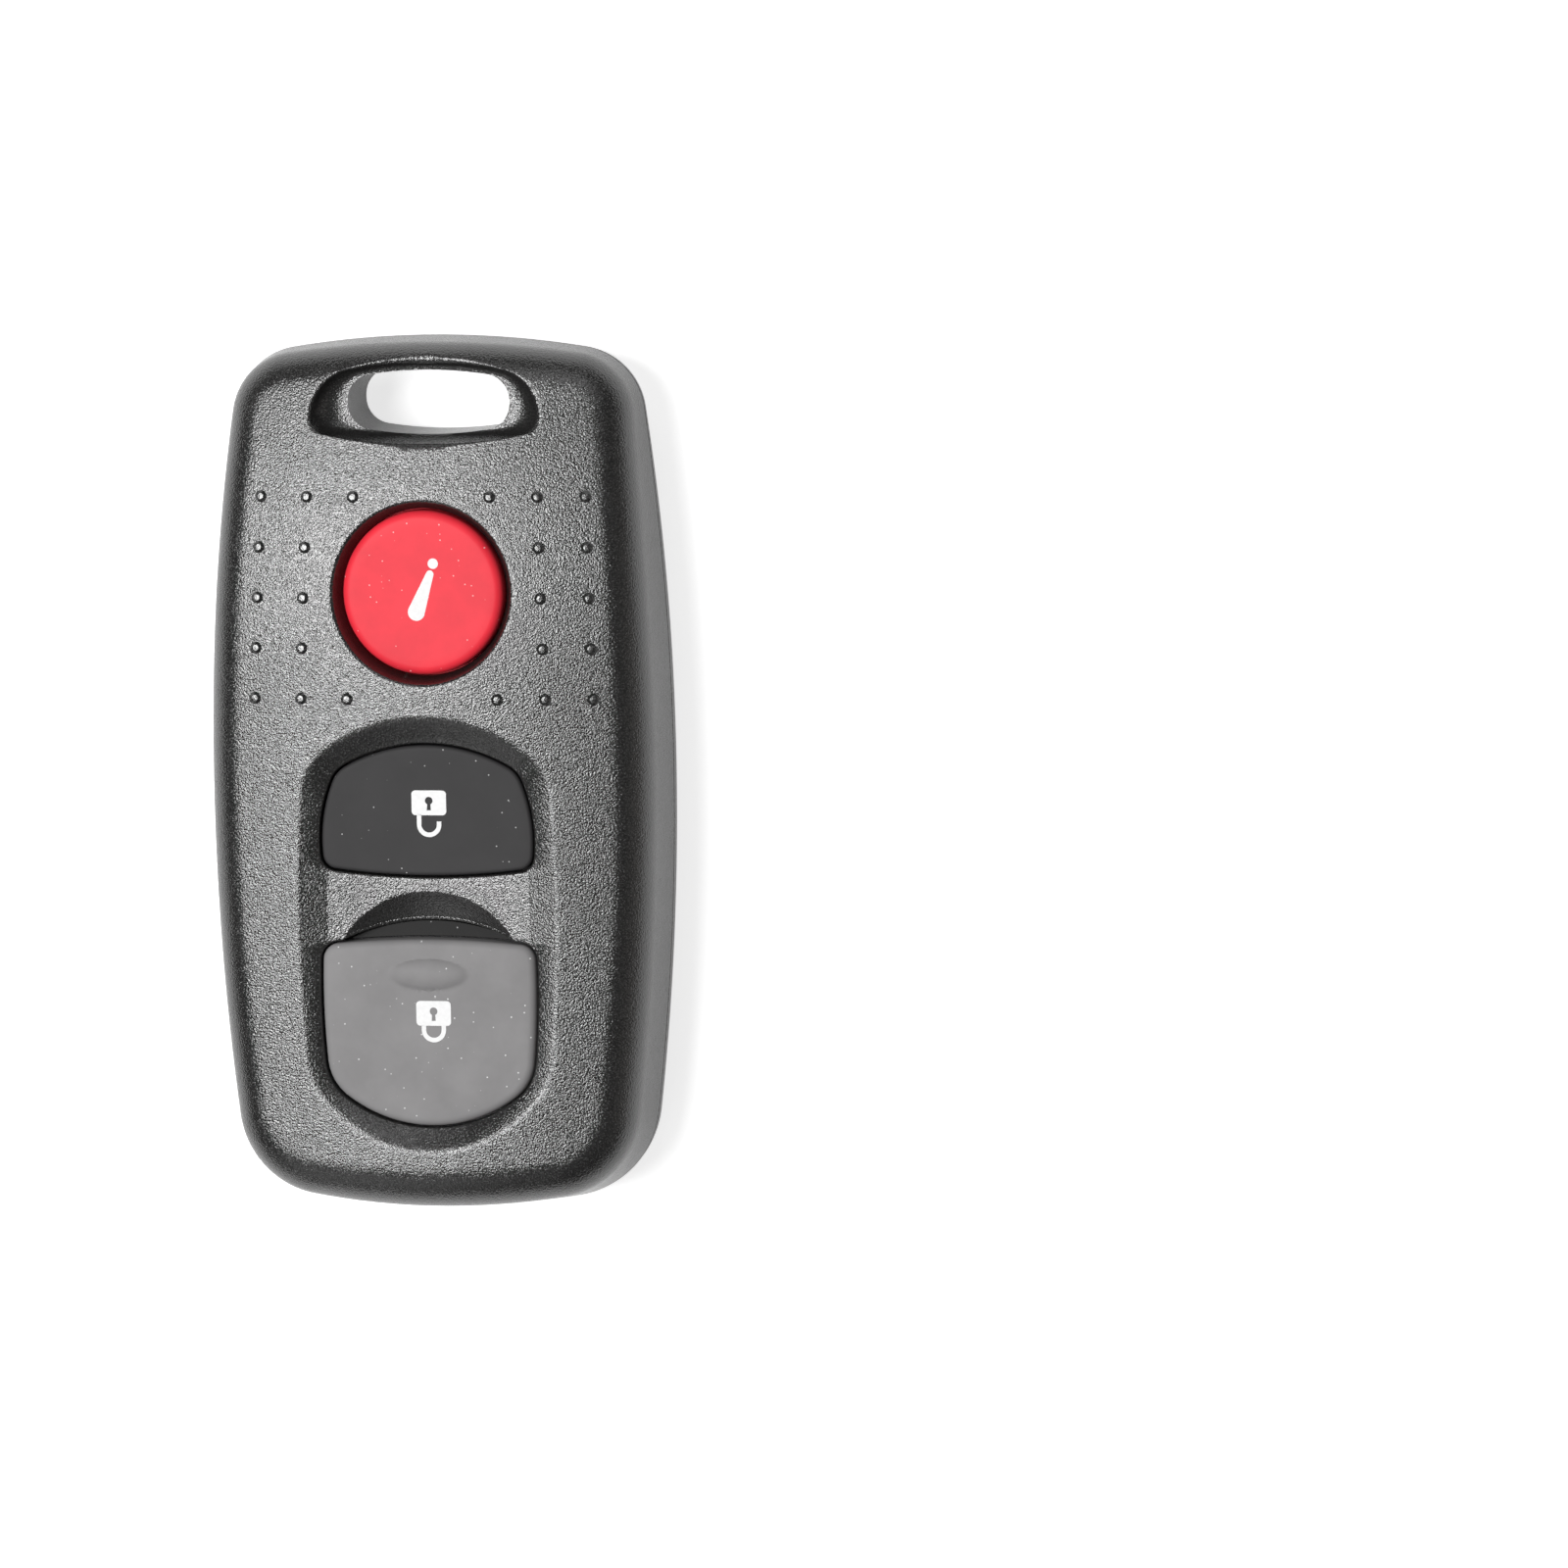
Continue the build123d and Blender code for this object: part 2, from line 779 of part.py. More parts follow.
def chip_body():
    low = board_face + chip_standoff
    body = Pos(0, chip_y, low + chip_height / 2) * Box(chip_width, chip_length, chip_height)
    return chamfer(body.faces().sort_by(Axis.Z)[-1].edges(), chip_bevel)


def chip_leads():
    """Two rows of gull-wing leads."""
    half = chip_length / 2
    top = board_face + lead_shoulder
    side = Polyline(
        (half, top), (half + lead_reach / 2, top), (half + lead_reach / 2, board_face + lead_sheet),
        (half + lead_reach, board_face + lead_sheet), (half + lead_reach, board_face),
        (half + lead_reach / 2 - lead_sheet, board_face),
        (half + lead_reach / 2 - lead_sheet, top - lead_sheet), (half, top - lead_sheet), close=True,
    )
    lead = extrude(Plane.YZ * make_face(side), amount=lead_width / 2, both=True)
    leads = []
    for number in range(lead_count):
        x = (number - (lead_count - 1) / 2) * lead_pitch
        leads += [Pos(x, chip_y) * lead, Pos(x, chip_y) * Rot(0, 0, 180) * lead]
    return Compound(children=leads)


def crystal_base():
    middle = board_face + crystal_base_height / 2
    return Pos(crystal_x, chip_y, middle) * Box(
        crystal_width, crystal_length, crystal_base_height
    )


def crystal_can():
    low = board_face + crystal_base_height
    width, length = crystal_width - 2 * crystal_ledge, crystal_length - 2 * crystal_ledge
    can = Box(width, length, crystal_can_height)
    can = fillet(can.edges().filter_by(Axis.Z), crystal_ledge)
    inner = Pos(0, 0, -crystal_sheet) * Box(
        width - 2 * crystal_sheet, length - 2 * crystal_sheet, crystal_can_height
    )
    return Pos(crystal_x, chip_y, low + crystal_can_height / 2) * (can - inner)


def small_parts(places, width, length, height):
    part = Box(width, length, height)
    middle = board_face + height / 2
    return Compound(children=[Pos(x, y, middle) * part for x, y in places])


def cell_can():
    body = disc(cell_radius, cell_bottom, cell_top - cell_rim_drop, y=cell_y)
    edge = body.edges().sort_by(Axis.Z)[0]
    body = fillet(edge, cell_sheet)
    return body - disc(cell_radius - cell_sheet, cell_bottom + cell_sheet, cell_top, y=cell_y)


def cell_gasket():
    """The nylon ring between the can and the cap."""
    low = cell_bottom + cell_sheet
    middle = low + cathode_height / 2
    outer = cell_radius - cell_sheet
    ring = disc(outer, low, cell_top - cell_rim_drop, y=cell_y)
    ring -= disc(gasket_inner, low, middle, y=cell_y)
    return ring - disc(cap_radius, middle, cell_top, y=cell_y)


def cell_cap():
    low = cell_bottom + cell_sheet + cathode_height / 2
    body = disc(cap_radius, low, cell_top, y=cell_y)
    body = fillet(body.edges().sort_by(Axis.Z)[-1], cell_sheet)
    return body - disc(cap_radius - cell_sheet, low, cell_top - cell_sheet, y=cell_y)


def cell_layer(low, high):
    return disc(pellet_radius, low, high, y=cell_y)


def minus_contact():
    """A leaf spring from the board down to the cell's cap."""
    high, low = board_height, cell_top + contact_sheet
    turn = minus_foot - minus_slope
    upper = [(minus_foot, high), (turn + minus_slope / 2, high), (turn - minus_slope / 2, low)]
    upper.append((turn - minus_slope / 2 - minus_toe, low))
    lower = [(x, z - contact_sheet) for x, z in reversed(upper)]
    leaf = make_face(Polyline(*upper, *lower, close=True))
    return Pos(0, cell_y) * extrude(Plane.XZ * leaf, amount=minus_width / 2, both=True)


def plus_contact():
    """A clip from the board down to the side of the cell's can."""
    near = cell_radius
    side = Polyline(
        (near, plus_bottom), (near, board_height), (near + plus_foot, board_height),
        (near + plus_foot, board_height - contact_sheet),
        (near + contact_sheet, board_height - contact_sheet), (near + contact_sheet, plus_bottom),
        close=True,
    )
    clip = extrude(Plane.XZ * make_face(side), amount=plus_width / 2, both=True)
    return Pos(0, cell_y) * clip


def electronics():
    rows = [number - (resistor_count - 1) / 2 for number in range(resistor_count)]
    resistors = [(resistor_x, chip_y + row * resistor_pitch) for row in rows]
    capacitors = [
        (share * half_width, capacitor_share * half_length) for share in capacitor_x_shares
    ]
    return {
        "circuit_board": circuit_board(),
        "antenna_loop": antenna_loop(),
        "chip_body": chip_body(),
        "chip_leads": chip_leads(),
        "crystal_base": crystal_base(),
        "crystal_can": crystal_can(),
        "resistors": small_parts(resistors, small_width, small_length, resistor_height),
        "capacitors": small_parts(capacitors, small_width, small_length, capacitor_height),
        "minus_contact": minus_contact(),
        "plus_contact": plus_contact(),
    }


def coin_cell():
    floor = cell_bottom + cell_sheet
    middle = floor + cathode_height
    return {
        "cell_can": cell_can(),
        "cell_gasket": cell_gasket(),
        "cell_cap": cell_cap(),
        "cell_cathode": cell_layer(floor, middle),
        "cell_separator": cell_layer(middle, middle + separator_height),
        "cell_anode": cell_layer(middle + separator_height, cell_top - cell_sheet),
    }


def switches():
    made = {}
    for name, y in (("lock", lock_switch), ("unlock", unlock_switch), ("panic", panic_y)):
        made[f"{name}_switch_base"] = switch_base(y)
        made[f"{name}_switch_cover"] = switch_cover(y)
        made[f"{name}_switch_plunger"] = switch_plunger(y)
        made[f"{name}_switch_dome"] = switch_dome(y)
        made[f"{name}_switch_terminals"] = switch_terminals(y)
    return made


def fob():
    return {
        "front_case": front_case(),
        "back_case": back_case(),
        "key_mat": key_mat(),
        "lock_key": lock_key(),
        "unlock_key": unlock_key(),
        "panic_key": panic_key(),
        **electronics(),
        **coin_cell(),
        **switches(),
    }


os.makedirs("parts", exist_ok=True)
for name, part in fob().items():
    export_step(part, f"parts/{name}.step")
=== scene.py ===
# %% [markdown]
# # A car key fob with three keys
# The fob has two moulded plastic halves that meet in a seam, a red panic key in a round well,
# two door keys in a recessed panel, and a slot for the key ring. This lesson dresses the packed
# CAD model of it: the outer pieces are modelled again with softer edges and finer forms, and
# every piece gets its own finish. The CAD model is loaded first and never changes.

from math import asin, atan, atan2, cos, pi, radians, sin, sqrt, tan

import bmesh
import bpy
from mathutils import Matrix, Vector
from mathutils.bvhtree import BVHTree


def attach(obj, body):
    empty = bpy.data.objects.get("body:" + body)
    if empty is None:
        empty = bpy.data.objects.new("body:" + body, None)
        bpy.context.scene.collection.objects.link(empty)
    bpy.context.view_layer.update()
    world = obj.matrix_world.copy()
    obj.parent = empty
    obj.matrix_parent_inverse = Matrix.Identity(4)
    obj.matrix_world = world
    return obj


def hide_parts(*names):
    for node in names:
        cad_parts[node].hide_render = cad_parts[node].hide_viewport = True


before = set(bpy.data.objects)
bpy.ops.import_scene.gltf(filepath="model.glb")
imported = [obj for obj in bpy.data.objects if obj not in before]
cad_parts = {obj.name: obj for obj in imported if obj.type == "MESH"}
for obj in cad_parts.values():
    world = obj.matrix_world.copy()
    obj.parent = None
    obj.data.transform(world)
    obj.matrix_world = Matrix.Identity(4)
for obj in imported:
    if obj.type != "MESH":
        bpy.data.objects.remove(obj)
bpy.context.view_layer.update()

# %% [markdown]
# ## The camera
# The fob was photographed from the front with a long lens, a little from its right and from
# its ring end. Here it lies on its back, so the same view looks down on it. The camera is built
# from its measured place and turn. A long lens keeps the sides nearly parallel, as in the photo.

# %% Camera
mm = 0.001


def set_camera():
    """A long lens above the fob, a little to its right and towards its ring end."""
    data = bpy.data.cameras.new("camera")
    data.sensor_width = 36.0
    data.lens = 288.44
    data.clip_end = 20.0
    camera = bpy.data.objects.new("camera", data)
    bpy.context.scene.collection.objects.link(camera)
    turn = Matrix((
        (0.97983529, -0.00642014, 0.19970377),
        (-0.01524393, 0.99416856, 0.10675434),
        (-0.19922459, -0.10764594, 0.97402357),
    ))
    place = Vector((217.4596, 101.3275, 937.4704)) * mm
    camera.matrix_world = Matrix.Translation(place) @ turn.to_4x4()
    bpy.context.scene.camera = camera
    return camera


camera = set_camera()
print("camera at", [round(c, 3) for c in camera.location])

# %% [markdown]
# ## The outlines
# Seen from the front, nearly every edge of the fob is four long arcs, for two ends and two
# sides, that meet in rounded corners. A helper walks round them and gives stations: places on
# the line, each with its outward direction. Moving each station along its own direction gives
# the parallel line, and that is how walls, gaps and rounded edges follow it.

# %% Stations round an outline
def corner_centre(first, first_radius, second, second_radius, near):
    """Where two circles cross, the crossing nearer to a given place."""
    apart = second - first
    gap = apart.length
    along = (first_radius**2 - second_radius**2 + gap**2) / (2 * gap)
    across = sqrt(first_radius**2 - along**2)
    foot = first + apart * (along / gap)
    side = Vector((-apart.y, apart.x)) * (across / gap)
    return min(foot + side, foot - side, key=lambda spot: (spot - near).length)


def walk_arc(centre, radius, start, stop, steps):
    """Stations on an arc, from one angle to another, without the last."""
    found = []
    for number in range(steps):
        angle = start + (stop - start) * number / steps
        way = Vector((cos(angle), sin(angle)))
        found.append((centre + way * radius, way))
    return found


def outline(width, top, bottom, side_radius, widest, top_radius, bottom_radius,
            top_corner, bottom_corner, steps=(14, 10, 30, 10, 14)):
    """Stations round a shape of four arcs, clockwise from the middle of its top."""
    side = Vector((width / 2 - side_radius, widest))
    upper = Vector((0, top - top_radius))
    lower = Vector((0, bottom + bottom_radius))
    first = corner_centre(side, side_radius - top_corner, upper, top_radius - top_corner,
                          Vector((width / 2, top)))
    last = corner_centre(side, side_radius - bottom_corner, lower, bottom_radius - bottom_corner,
                         Vector((width / 2, bottom)))
    turns = [pi / 2]
    for spot in (first - upper, first - side, last - side, last - lower):
        turns.append(atan2(spot.y, spot.x))
    turns.append(-pi / 2)
    arcs = ((upper, top_radius), (first, top_corner), (side, side_radius),
            (last, bottom_corner), (lower, bottom_radius))
    right = []
    for (centre, radius), start, stop, count in zip(arcs, turns, turns[1:], steps):
        right += walk_arc(centre, radius, start, stop, count)
    foot = (Vector((0, bottom)), Vector((0, -1)))
    left = [(Vector((-p.x, p.y)), Vector((-n.x, n.y))) for p, n in right[1:]]
    return right + [foot] + left[::-1]


def grown(stations, by):
    """The parallel outline, by so much further out."""
    return [(place + way * by, way) for place, way in stations]


case_shape = (35.6, 33.5, -33.5, 213.0, 0.0, 72.7, 58.6, 5.4, 7.6)
case_line = outline(*case_shape, (40, 24, 128, 24, 40))
print("case outline", len(case_line), "stations")

# %% [markdown]
# ## Rings stacked into a body
# A moulded shell can be seen as rings: one round its foot, the next a little higher and further
# in, and so on to the middle of its face. A circle with one point for each station is extruded
# again and again, and each new loop is put where the next ring lies. Every point remembers its
# station, so the rings never twist. The last ring is closed with a cap, or drawn together along
# the middle line and merged.

# %% Stack rings
def point_at(station, inward, height):
    """A place so far inside a station, at a height."""
    place, way = station
    return Vector((place.x - way.x * inward, place.y - way.y * inward, height))


def stack_rings(name, rings, closing="cap"):
    """A closed mesh object from rings of places, in millimetres until it is finished."""
    bm = bmesh.new()
    number = bm.verts.layers.int.new("station")
    loop = bmesh.ops.create_circle(bm, segments=len(rings[0]), radius=1.0)["verts"]
    for index, vert in enumerate(loop):
        vert[number] = index
        vert.co = rings[0][index]
    edges = bm.edges[:]
    bmesh.ops.contextual_create(bm, geom=edges)
    for ring in rings[1:]:
        made = bmesh.ops.extrude_edge_only(bm, edges=edges)["geom"]
        edges = [item for item in made if isinstance(item, bmesh.types.BMEdge)]
        loop = [item for item in made if isinstance(item, bmesh.types.BMVert)]
        for vert in loop:
            vert.co = ring[vert[number]]
    if closing == "cap":
        bmesh.ops.contextual_create(bm, geom=edges)
    else:
        bmesh.ops.remove_doubles(bm, verts=loop, dist=0.0005)
        bmesh.ops.dissolve_degenerate(bm, edges=bm.edges[:], dist=0.0001)
    bmesh.ops.recalc_face_normals(bm, faces=bm.faces[:])
    return as_object(name, bm)


def as_object(name, bm):
    """Puts a bmesh into a new object at the origin."""
    mesh = bpy.data.meshes.new(name)
    bm.to_mesh(mesh)
    bm.free()
    piece = bpy.data.objects.new(name, mesh)
    bpy.context.scene.collection.objects.link(piece)
    return piece


def rings_of(paths):
    """Turns one path of places per station into one ring per step along them."""
    return [list(ring) for ring in zip(*paths)]


# %% [markdown]
# ## The two faces of the fob
# The front face is level along the keys and arched across them, on a radius of 100 mm, and it
# falls away over the nose like a ball. The back is flat and rises in one long arc towards the
# ring end. Both are written once as heights, so that every other piece can ask for them.

# %% Heights of the faces
seam = 5.3
crown_top = 13.4
crown_radius = 100.0
nose_start = 8.2
tail_radius = 327.0
tail_start = 4.2


def crown(x, y, drop=0.0):
    """Height of the front face, or of the surface so far under it."""
    fall = max(0.0, y - nose_start)
    return crown_top - crown_radius + sqrt((crown_radius - drop) ** 2 - x * x - fall * fall)


def tail(x, y, drop=0.0):
    """Height of the back face, or of the surface so far above it."""
    rise = max(0.0, y - tail_start)
    return tail_radius - sqrt((tail_radius - drop) ** 2 - rise * rise)


print("face height at the middle and the nose", crown(0, 0), round(crown(0, 30), 2))

# %% [markdown]
# ## The outer form of a half
# Each half goes up its leaning side, turns over a rounded edge and crosses the face to the
# middle. The rounding is a ball rolled in the corner between side and face. In each station's
# own section that is a circle touching two lines, which has a plain answer, so the rings land
# exactly on it. A tiny chamfer at the foot makes the dark line of the seam. The back half is
# the same form turned over, so one function draws both.

# %% Form one half
front_half = dict(lean=6.6, radius=3.3, face=crown, upright=1)
back_half = dict(lean=4.9, radius=4.4, face=tail, upright=-1)


def rolled_edge(station, lean, radius, face):
    """Centre of the ball in a station's section, and the turns where it leaves side and face."""
    touch = radius
    for _ in range(8):
        near = point_at(station, touch, 0)
        next_in = point_at(station, touch + 0.01, 0)
        height = face(near.x, near.y)
        slope = (face(next_in.x, next_in.y) - height) / 0.01
        start = height - slope * touch
        side_length, face_length = sqrt(1 + lean**2), sqrt(1 + slope**2)
        rise = (start + slope * radius * side_length - radius * face_length) / (1 - slope * lean)
        inward = lean * rise + radius * side_length
        touch = inward - radius * slope / face_length
    return inward, rise, pi - atan(lean), pi / 2 + atan(slope)


def half_paths(line, lean, radius, face, middle=16.0, chamfer=0.1,
               side_steps=5, edge_steps=14, face_steps=34):
    """One path per station from the seam to the middle line, as (x, y, distance from seam)."""
    paths = []
    for station in line:
        inward, rise, low, high = rolled_edge(station, lean, radius, face)
        path = [point_at(station, chamfer, 0.0)]
        leave = rise + radius * sin(low)
        for step in range(side_steps):
            height = chamfer + (leave - chamfer) * step / side_steps
            path.append(point_at(station, lean * height, height))
        for step in range(edge_steps + 1):
            turn = low + (high - low) * step / edge_steps
            path.append(point_at(station, inward + radius * cos(turn), rise + radius * sin(turn)))
        edge = path[-1]
        goal = Vector((0.0, max(-middle, min(middle, edge.y)), 0.0))
        for step in range(1, face_steps + 1):
            spot = edge.lerp(goal, step / face_steps)
            path.append(Vector((spot.x, spot.y, face(spot.x, spot.y))))
        paths.append(path)
    return paths


def half_form(name, inset, line, lean, radius, face, upright, **steps):
    """The closed form of a half, or the same form inset by a wall and longer at its foot."""
    paths = half_paths(grown(line, -inset), tan(radians(lean)), radius - inset,
                       lambda x, y: upright * (face(x, y, inset) - seam), **steps)
    for path in paths:
        for spot in path:
            spot.z = seam + upright * spot.z
        if inset:
            path[0].z -= 0.5 * upright
    return stack_rings(name, rings_of(paths), "merge")


front = half_form("front_shell", 0.0, case_line, **front_half)
print("front form", len(front.data.polygons), "faces")

# %% [markdown]
# ## Cutting with soft rims
# The mould for the shell has cores that leave the panel, the key openings, the well and the
# slot. Here each core is a body of its own that is taken away with a boolean, which is exact
# and quick. A sharp rim would look like folded paper, so each core carries the rounded rim in
# its own form: its wall bends over just before it meets the face, and leaves it at a low angle.

# %% Bend, ray and cut helpers
def bend(corner, along, then, radius, steps, share=1.0):
    """Places on an arc that arrives at a corner one way and leaves it another."""
    turn = along.angle(then)
    start = corner - along * (radius * tan(turn / 2))
    side = (then - along * then.dot(along)).normalized()
    places = []
    for step in range(steps + 1):
        angle = turn * share * step / steps
        places.append(start + along * (radius * sin(angle)) + side * (radius * (1 - cos(angle))))
    return places


def tree_of(piece):
    """A search tree of a piece's faces, to find where a wall meets them."""
    bm = bmesh.new()
    bm.from_mesh(piece.data)
    tree = BVHTree.FromBMesh(bm)
    bm.free()
    return tree


def soft_rim(tree, foot, up, out, radius, steps=5, leave=14.0, over=0.15, roof=15.0):
    """Path from where a wall starts to bend, over the rim, and up clear of the face."""
    place, normal, _, _ = tree.ray_cast(foot, up)
    if place is None:
        place, normal = foot + up * ((crown_top - 1.0 - foot.z) / up.z), Vector((0, 0, 1))
    if normal.z < 0:
        normal = -normal
    away = (out - normal * out.dot(normal)).normalized()
    turn = up.angle(away)
    share = 1 - radians(leave) / turn
    path = bend(place, up, away, radius, steps, share)
    angle = turn * share
    side = (away - up * away.dot(up)).normalized()
    onward = up * cos(angle) + side * sin(angle)
    below = radius * (1 - cos(turn - angle))
    path.append(path[-1] + onward * ((below + over) / sin(turn - angle)))
    path.append(Vector((path[-1].x, path[-1].y, roof)))
    return path, place


def combine(piece, tool, way="DIFFERENCE"):
    """Applies a boolean and throws the tool away."""
    change = piece.modifiers.new("cut", "BOOLEAN")
    change.operation = way
    change.solver = "EXACT"
    change.object = tool
    bpy.context.view_layer.update()
    graph = bpy.context.evaluated_depsgraph_get()
    made = bpy.data.meshes.new_from_object(piece.evaluated_get(graph), depsgraph=graph)
    piece.modifiers.clear()
    old = piece.data
    piece.data = made
    bpy.data.meshes.remove(old)
    bpy.data.objects.remove(tool)
    return piece


def block(name, line, low, high):
    """An upright block on an outline."""
    return stack_rings(name, [[point_at(s, 0, z) for s in line] for z in (low, high)])


# %% [markdown]
# ## The panel
# The door keys sit in a shallow recess. Its floor is slightly dished, so under the arched face it
# is over 1 mm deep along the middle and less than half of that at the sides, where its walls lie
# flattest and reach from the rim to the key openings. The core's paths start on the middle line,
# run out over the floor, bend up the slope and bend again over the rim.

# %% Cut the panel
panel_depth = 1.15
key_depth = 1.0


def panel_floor(x, y):
    """Height of the panel's floor, which is dished only a little."""
    return crown_top - panel_depth + x * x / 400.0


def key_height(x, y):
    """Height of the unlock key's face, which is nearly level with the panel's floor."""
    return crown_top - key_depth - x * x / 2000.0


def crown_normal(x, y):
    """The way the front face looks at a place."""
    fall = max(0.0, y - nose_start)
    return Vector((x, fall, sqrt(crown_radius**2 - x * x - fall * fall))).normalized()


def flat(way):
    """A direction in the plan as a direction in space."""
    return Vector((way.x, way.y, 0.0))


def panel_core():
    """The core that leaves the recess round the door keys."""
    line = outline(21.8, 4.82, -28.3, 120.0, -10.0, 16.0, 12.4, 5.0, 5.0, (28, 18, 60, 18, 28))
    tree = tree_of(front)
    paths = []
    for place, way in line:
        rim_place = place - way * 1.6 * (crown_top - crown(place.x * 0.92, place.y))
        run = 1.65 + 2.95 * way.x**2
        up = Vector((way.x * run, way.y * run, 1.0)).normalized()
        foot = Vector((rim_place.x, rim_place.y, crown(*rim_place))) - up * (1.5 / up.z)
        rim, edge = soft_rim(tree, foot, up, flat(way), 1.3, leave=9.0, over=0.08)
        corner = edge.copy()
        for _ in range(14):
            corner -= up * ((corner.z - panel_floor(corner.x, corner.y)) / (up.z * 1.3))
        normal = Vector((-corner.x / 200.0, 0.0, 1.0)).normalized()
        inward = -(flat(way) - normal * flat(way).dot(normal)).normalized()
        hollow = bend(corner, -inward, up, 2.0, 6)
        goal = Vector((0.0, max(-19.0, min(-5.0, hollow[0].y)), 0.0))
        floor = []
        for step in range(24):
            spot = goal.lerp(hollow[0], step / 24)
            floor.append(Vector((spot.x, spot.y, panel_floor(spot.x, spot.y))))
        paths.append((floor + hollow + rim)[::-1])
    return stack_rings("panel_core", rings_of(paths), "merge")


combine(front, panel_core())
print("with panel", len(front.data.polygons), "faces")

# %% [markdown]
# ## The key openings, the scoop and the well
# Each opening is an upright hole with a small soft rim at the floor of the panel. The scoop is
# part of a cone that lets a thumb reach the lock key, and at its foot an arched gap shows the
# rubber mat. The panic key stands in a well whose wall leans out to the same circle all round,
# so it is steeper at the lock end, where the face is higher.

# %% Cut openings, scoop, sill gap and well
unlock_shape = dict(width=16.8, top=2.85, bottom=-7.4, side_radius=12.0, widest=-4.6,
                    top_radius=13.2, bottom_radius=56.0, top_corner=2.5, bottom_corner=1.3,
                    steps=(20, 14, 24, 12, 20))
lock_shape = dict(width=17.0, top=-12.0, bottom=-26.6, side_radius=60.0, widest=-16.0,
                  top_radius=70.0, bottom_radius=11.0, top_corner=1.4, bottom_corner=4.0,
                  steps=(22, 12, 24, 14, 20))
deck = 10.4
scoop_y = -15.9
well_radius = 6.4
panic_y = 14.35


def circle(radius, x, y, steps, start=0.0):
    """Stations round a circle."""
    return walk_arc(Vector((x, y)), radius, start, start - 2 * pi, steps)


def cone_core(name, line, low, high_line, high, radius, sag=0.0, **rim_form):
    """A core whose wall leans from one outline to another and may sag, with a soft rim."""
    tree = tree_of(front)
    paths = []
    for (place, way), (far, _) in zip(line, high_line):
        foot = Vector((place.x, place.y, low))
        up = (Vector((far.x, far.y, high(far.x, far.y))) - foot).normalized()
        rim, _ = soft_rim(tree, foot, up, flat(way), radius, **rim_form)
        wall = [foot.lerp(rim[0], share / 6) - Vector((0, 0, sag * share * (6 - share) / 9))
                for share in range(1, 6)] if sag else []
        paths.append([foot] + wall + rim)
    return stack_rings(name, rings_of(paths))


def opening_core(name, line):
    """An upright hole through the deck with a small soft rim where it comes out."""
    return cone_core(name, line, deck - 1.0, line, crown, 0.18, steps=4, leave=16.0, over=0.08)


def sill_gap(radius=15.4, half_width=6.9, centre_y=-26.1, end_y=-13.2):
    """The arched gap at the scoop's foot, with a narrow level land along its edge."""
    tree = tree_of(front)
    half = asin(half_width / radius)
    line = walk_arc(Vector((0.0, centre_y)), radius, pi / 2 + half, pi / 2 - half, 90)
    paths = []
    for place, way in line:
        foot, out = Vector((place.x, place.y, 9.4)), flat(way)
        found = tree.ray_cast(foot + out * 0.1, Vector((0, 0, 1)))[0]
        land = Vector((place.x, place.y, found.z if found else 12.4))
        path = [foot, land, land + out * 0.2, land + out * 0.4 + Vector((0, 0, 0.3))]
        path.append(Vector((path[-1].x, path[-1].y, 15.0)))
        paths.append(path + [Vector((spot.x, end_y, spot.z)) for spot in path[::-1]])
    return stack_rings("sill_gap", paths[::-1])


scoop_foot, scoop_head = circle(5.2, 0, scoop_y, 128), circle(7.7, 0, scoop_y, 128)
combine(front, cone_core("scoop_core", scoop_foot, 11.15, scoop_head, lambda x, y: 12.4, 0.3,
                         sag=0.08))
combine(front, opening_core("unlock_core", outline(**unlock_shape)))
combine(front, opening_core("lock_core", outline(**lock_shape)))
combine(front, sill_gap())
well_foot = circle(well_radius, 0, panic_y, 160)
well_head = circle(well_radius + 0.55, 0, panic_y, 160)
combine(front, cone_core("well_core", well_foot, 11.6, well_head, crown, 0.3))
combine(front, block("throat_core", well_foot, deck - 1.0, 12.0))
print("with openings", len(front.data.polygons), "faces")

# %% [markdown]
# ## The slot for the key ring
# The slot goes right through both halves. On the front it opens in a wide D-shaped dish with a
# steep wall towards the ring end, bowls at both ends, and a nearly straight chin. The dish's
# wall is hollow rather than straight, so each path sags between slot and rim, most in the bowls,
# which leave the slot nearly level.

# %% Cut the slot and its dish
slot_shape = dict(width=12.6, top=31.1, bottom=26.2, side_radius=6.0, widest=28.65,
                  top_radius=30.0, bottom_radius=30.0, top_corner=2.0, bottom_corner=2.0,
                  steps=(20, 12, 14, 12, 20))


def mouth_shape(bottom_slope, reach=3.4):
    """The outline of the dish so far out from the slot."""
    return dict(slot_shape, width=slot_shape["width"] + 3.2 * reach,
                top=slot_shape["top"] + 0.92 * reach,
                bottom=slot_shape["bottom"] - bottom_slope * reach,
                side_radius=14.0, top_radius=22.0, bottom_radius=60.0, top_corner=4.0)


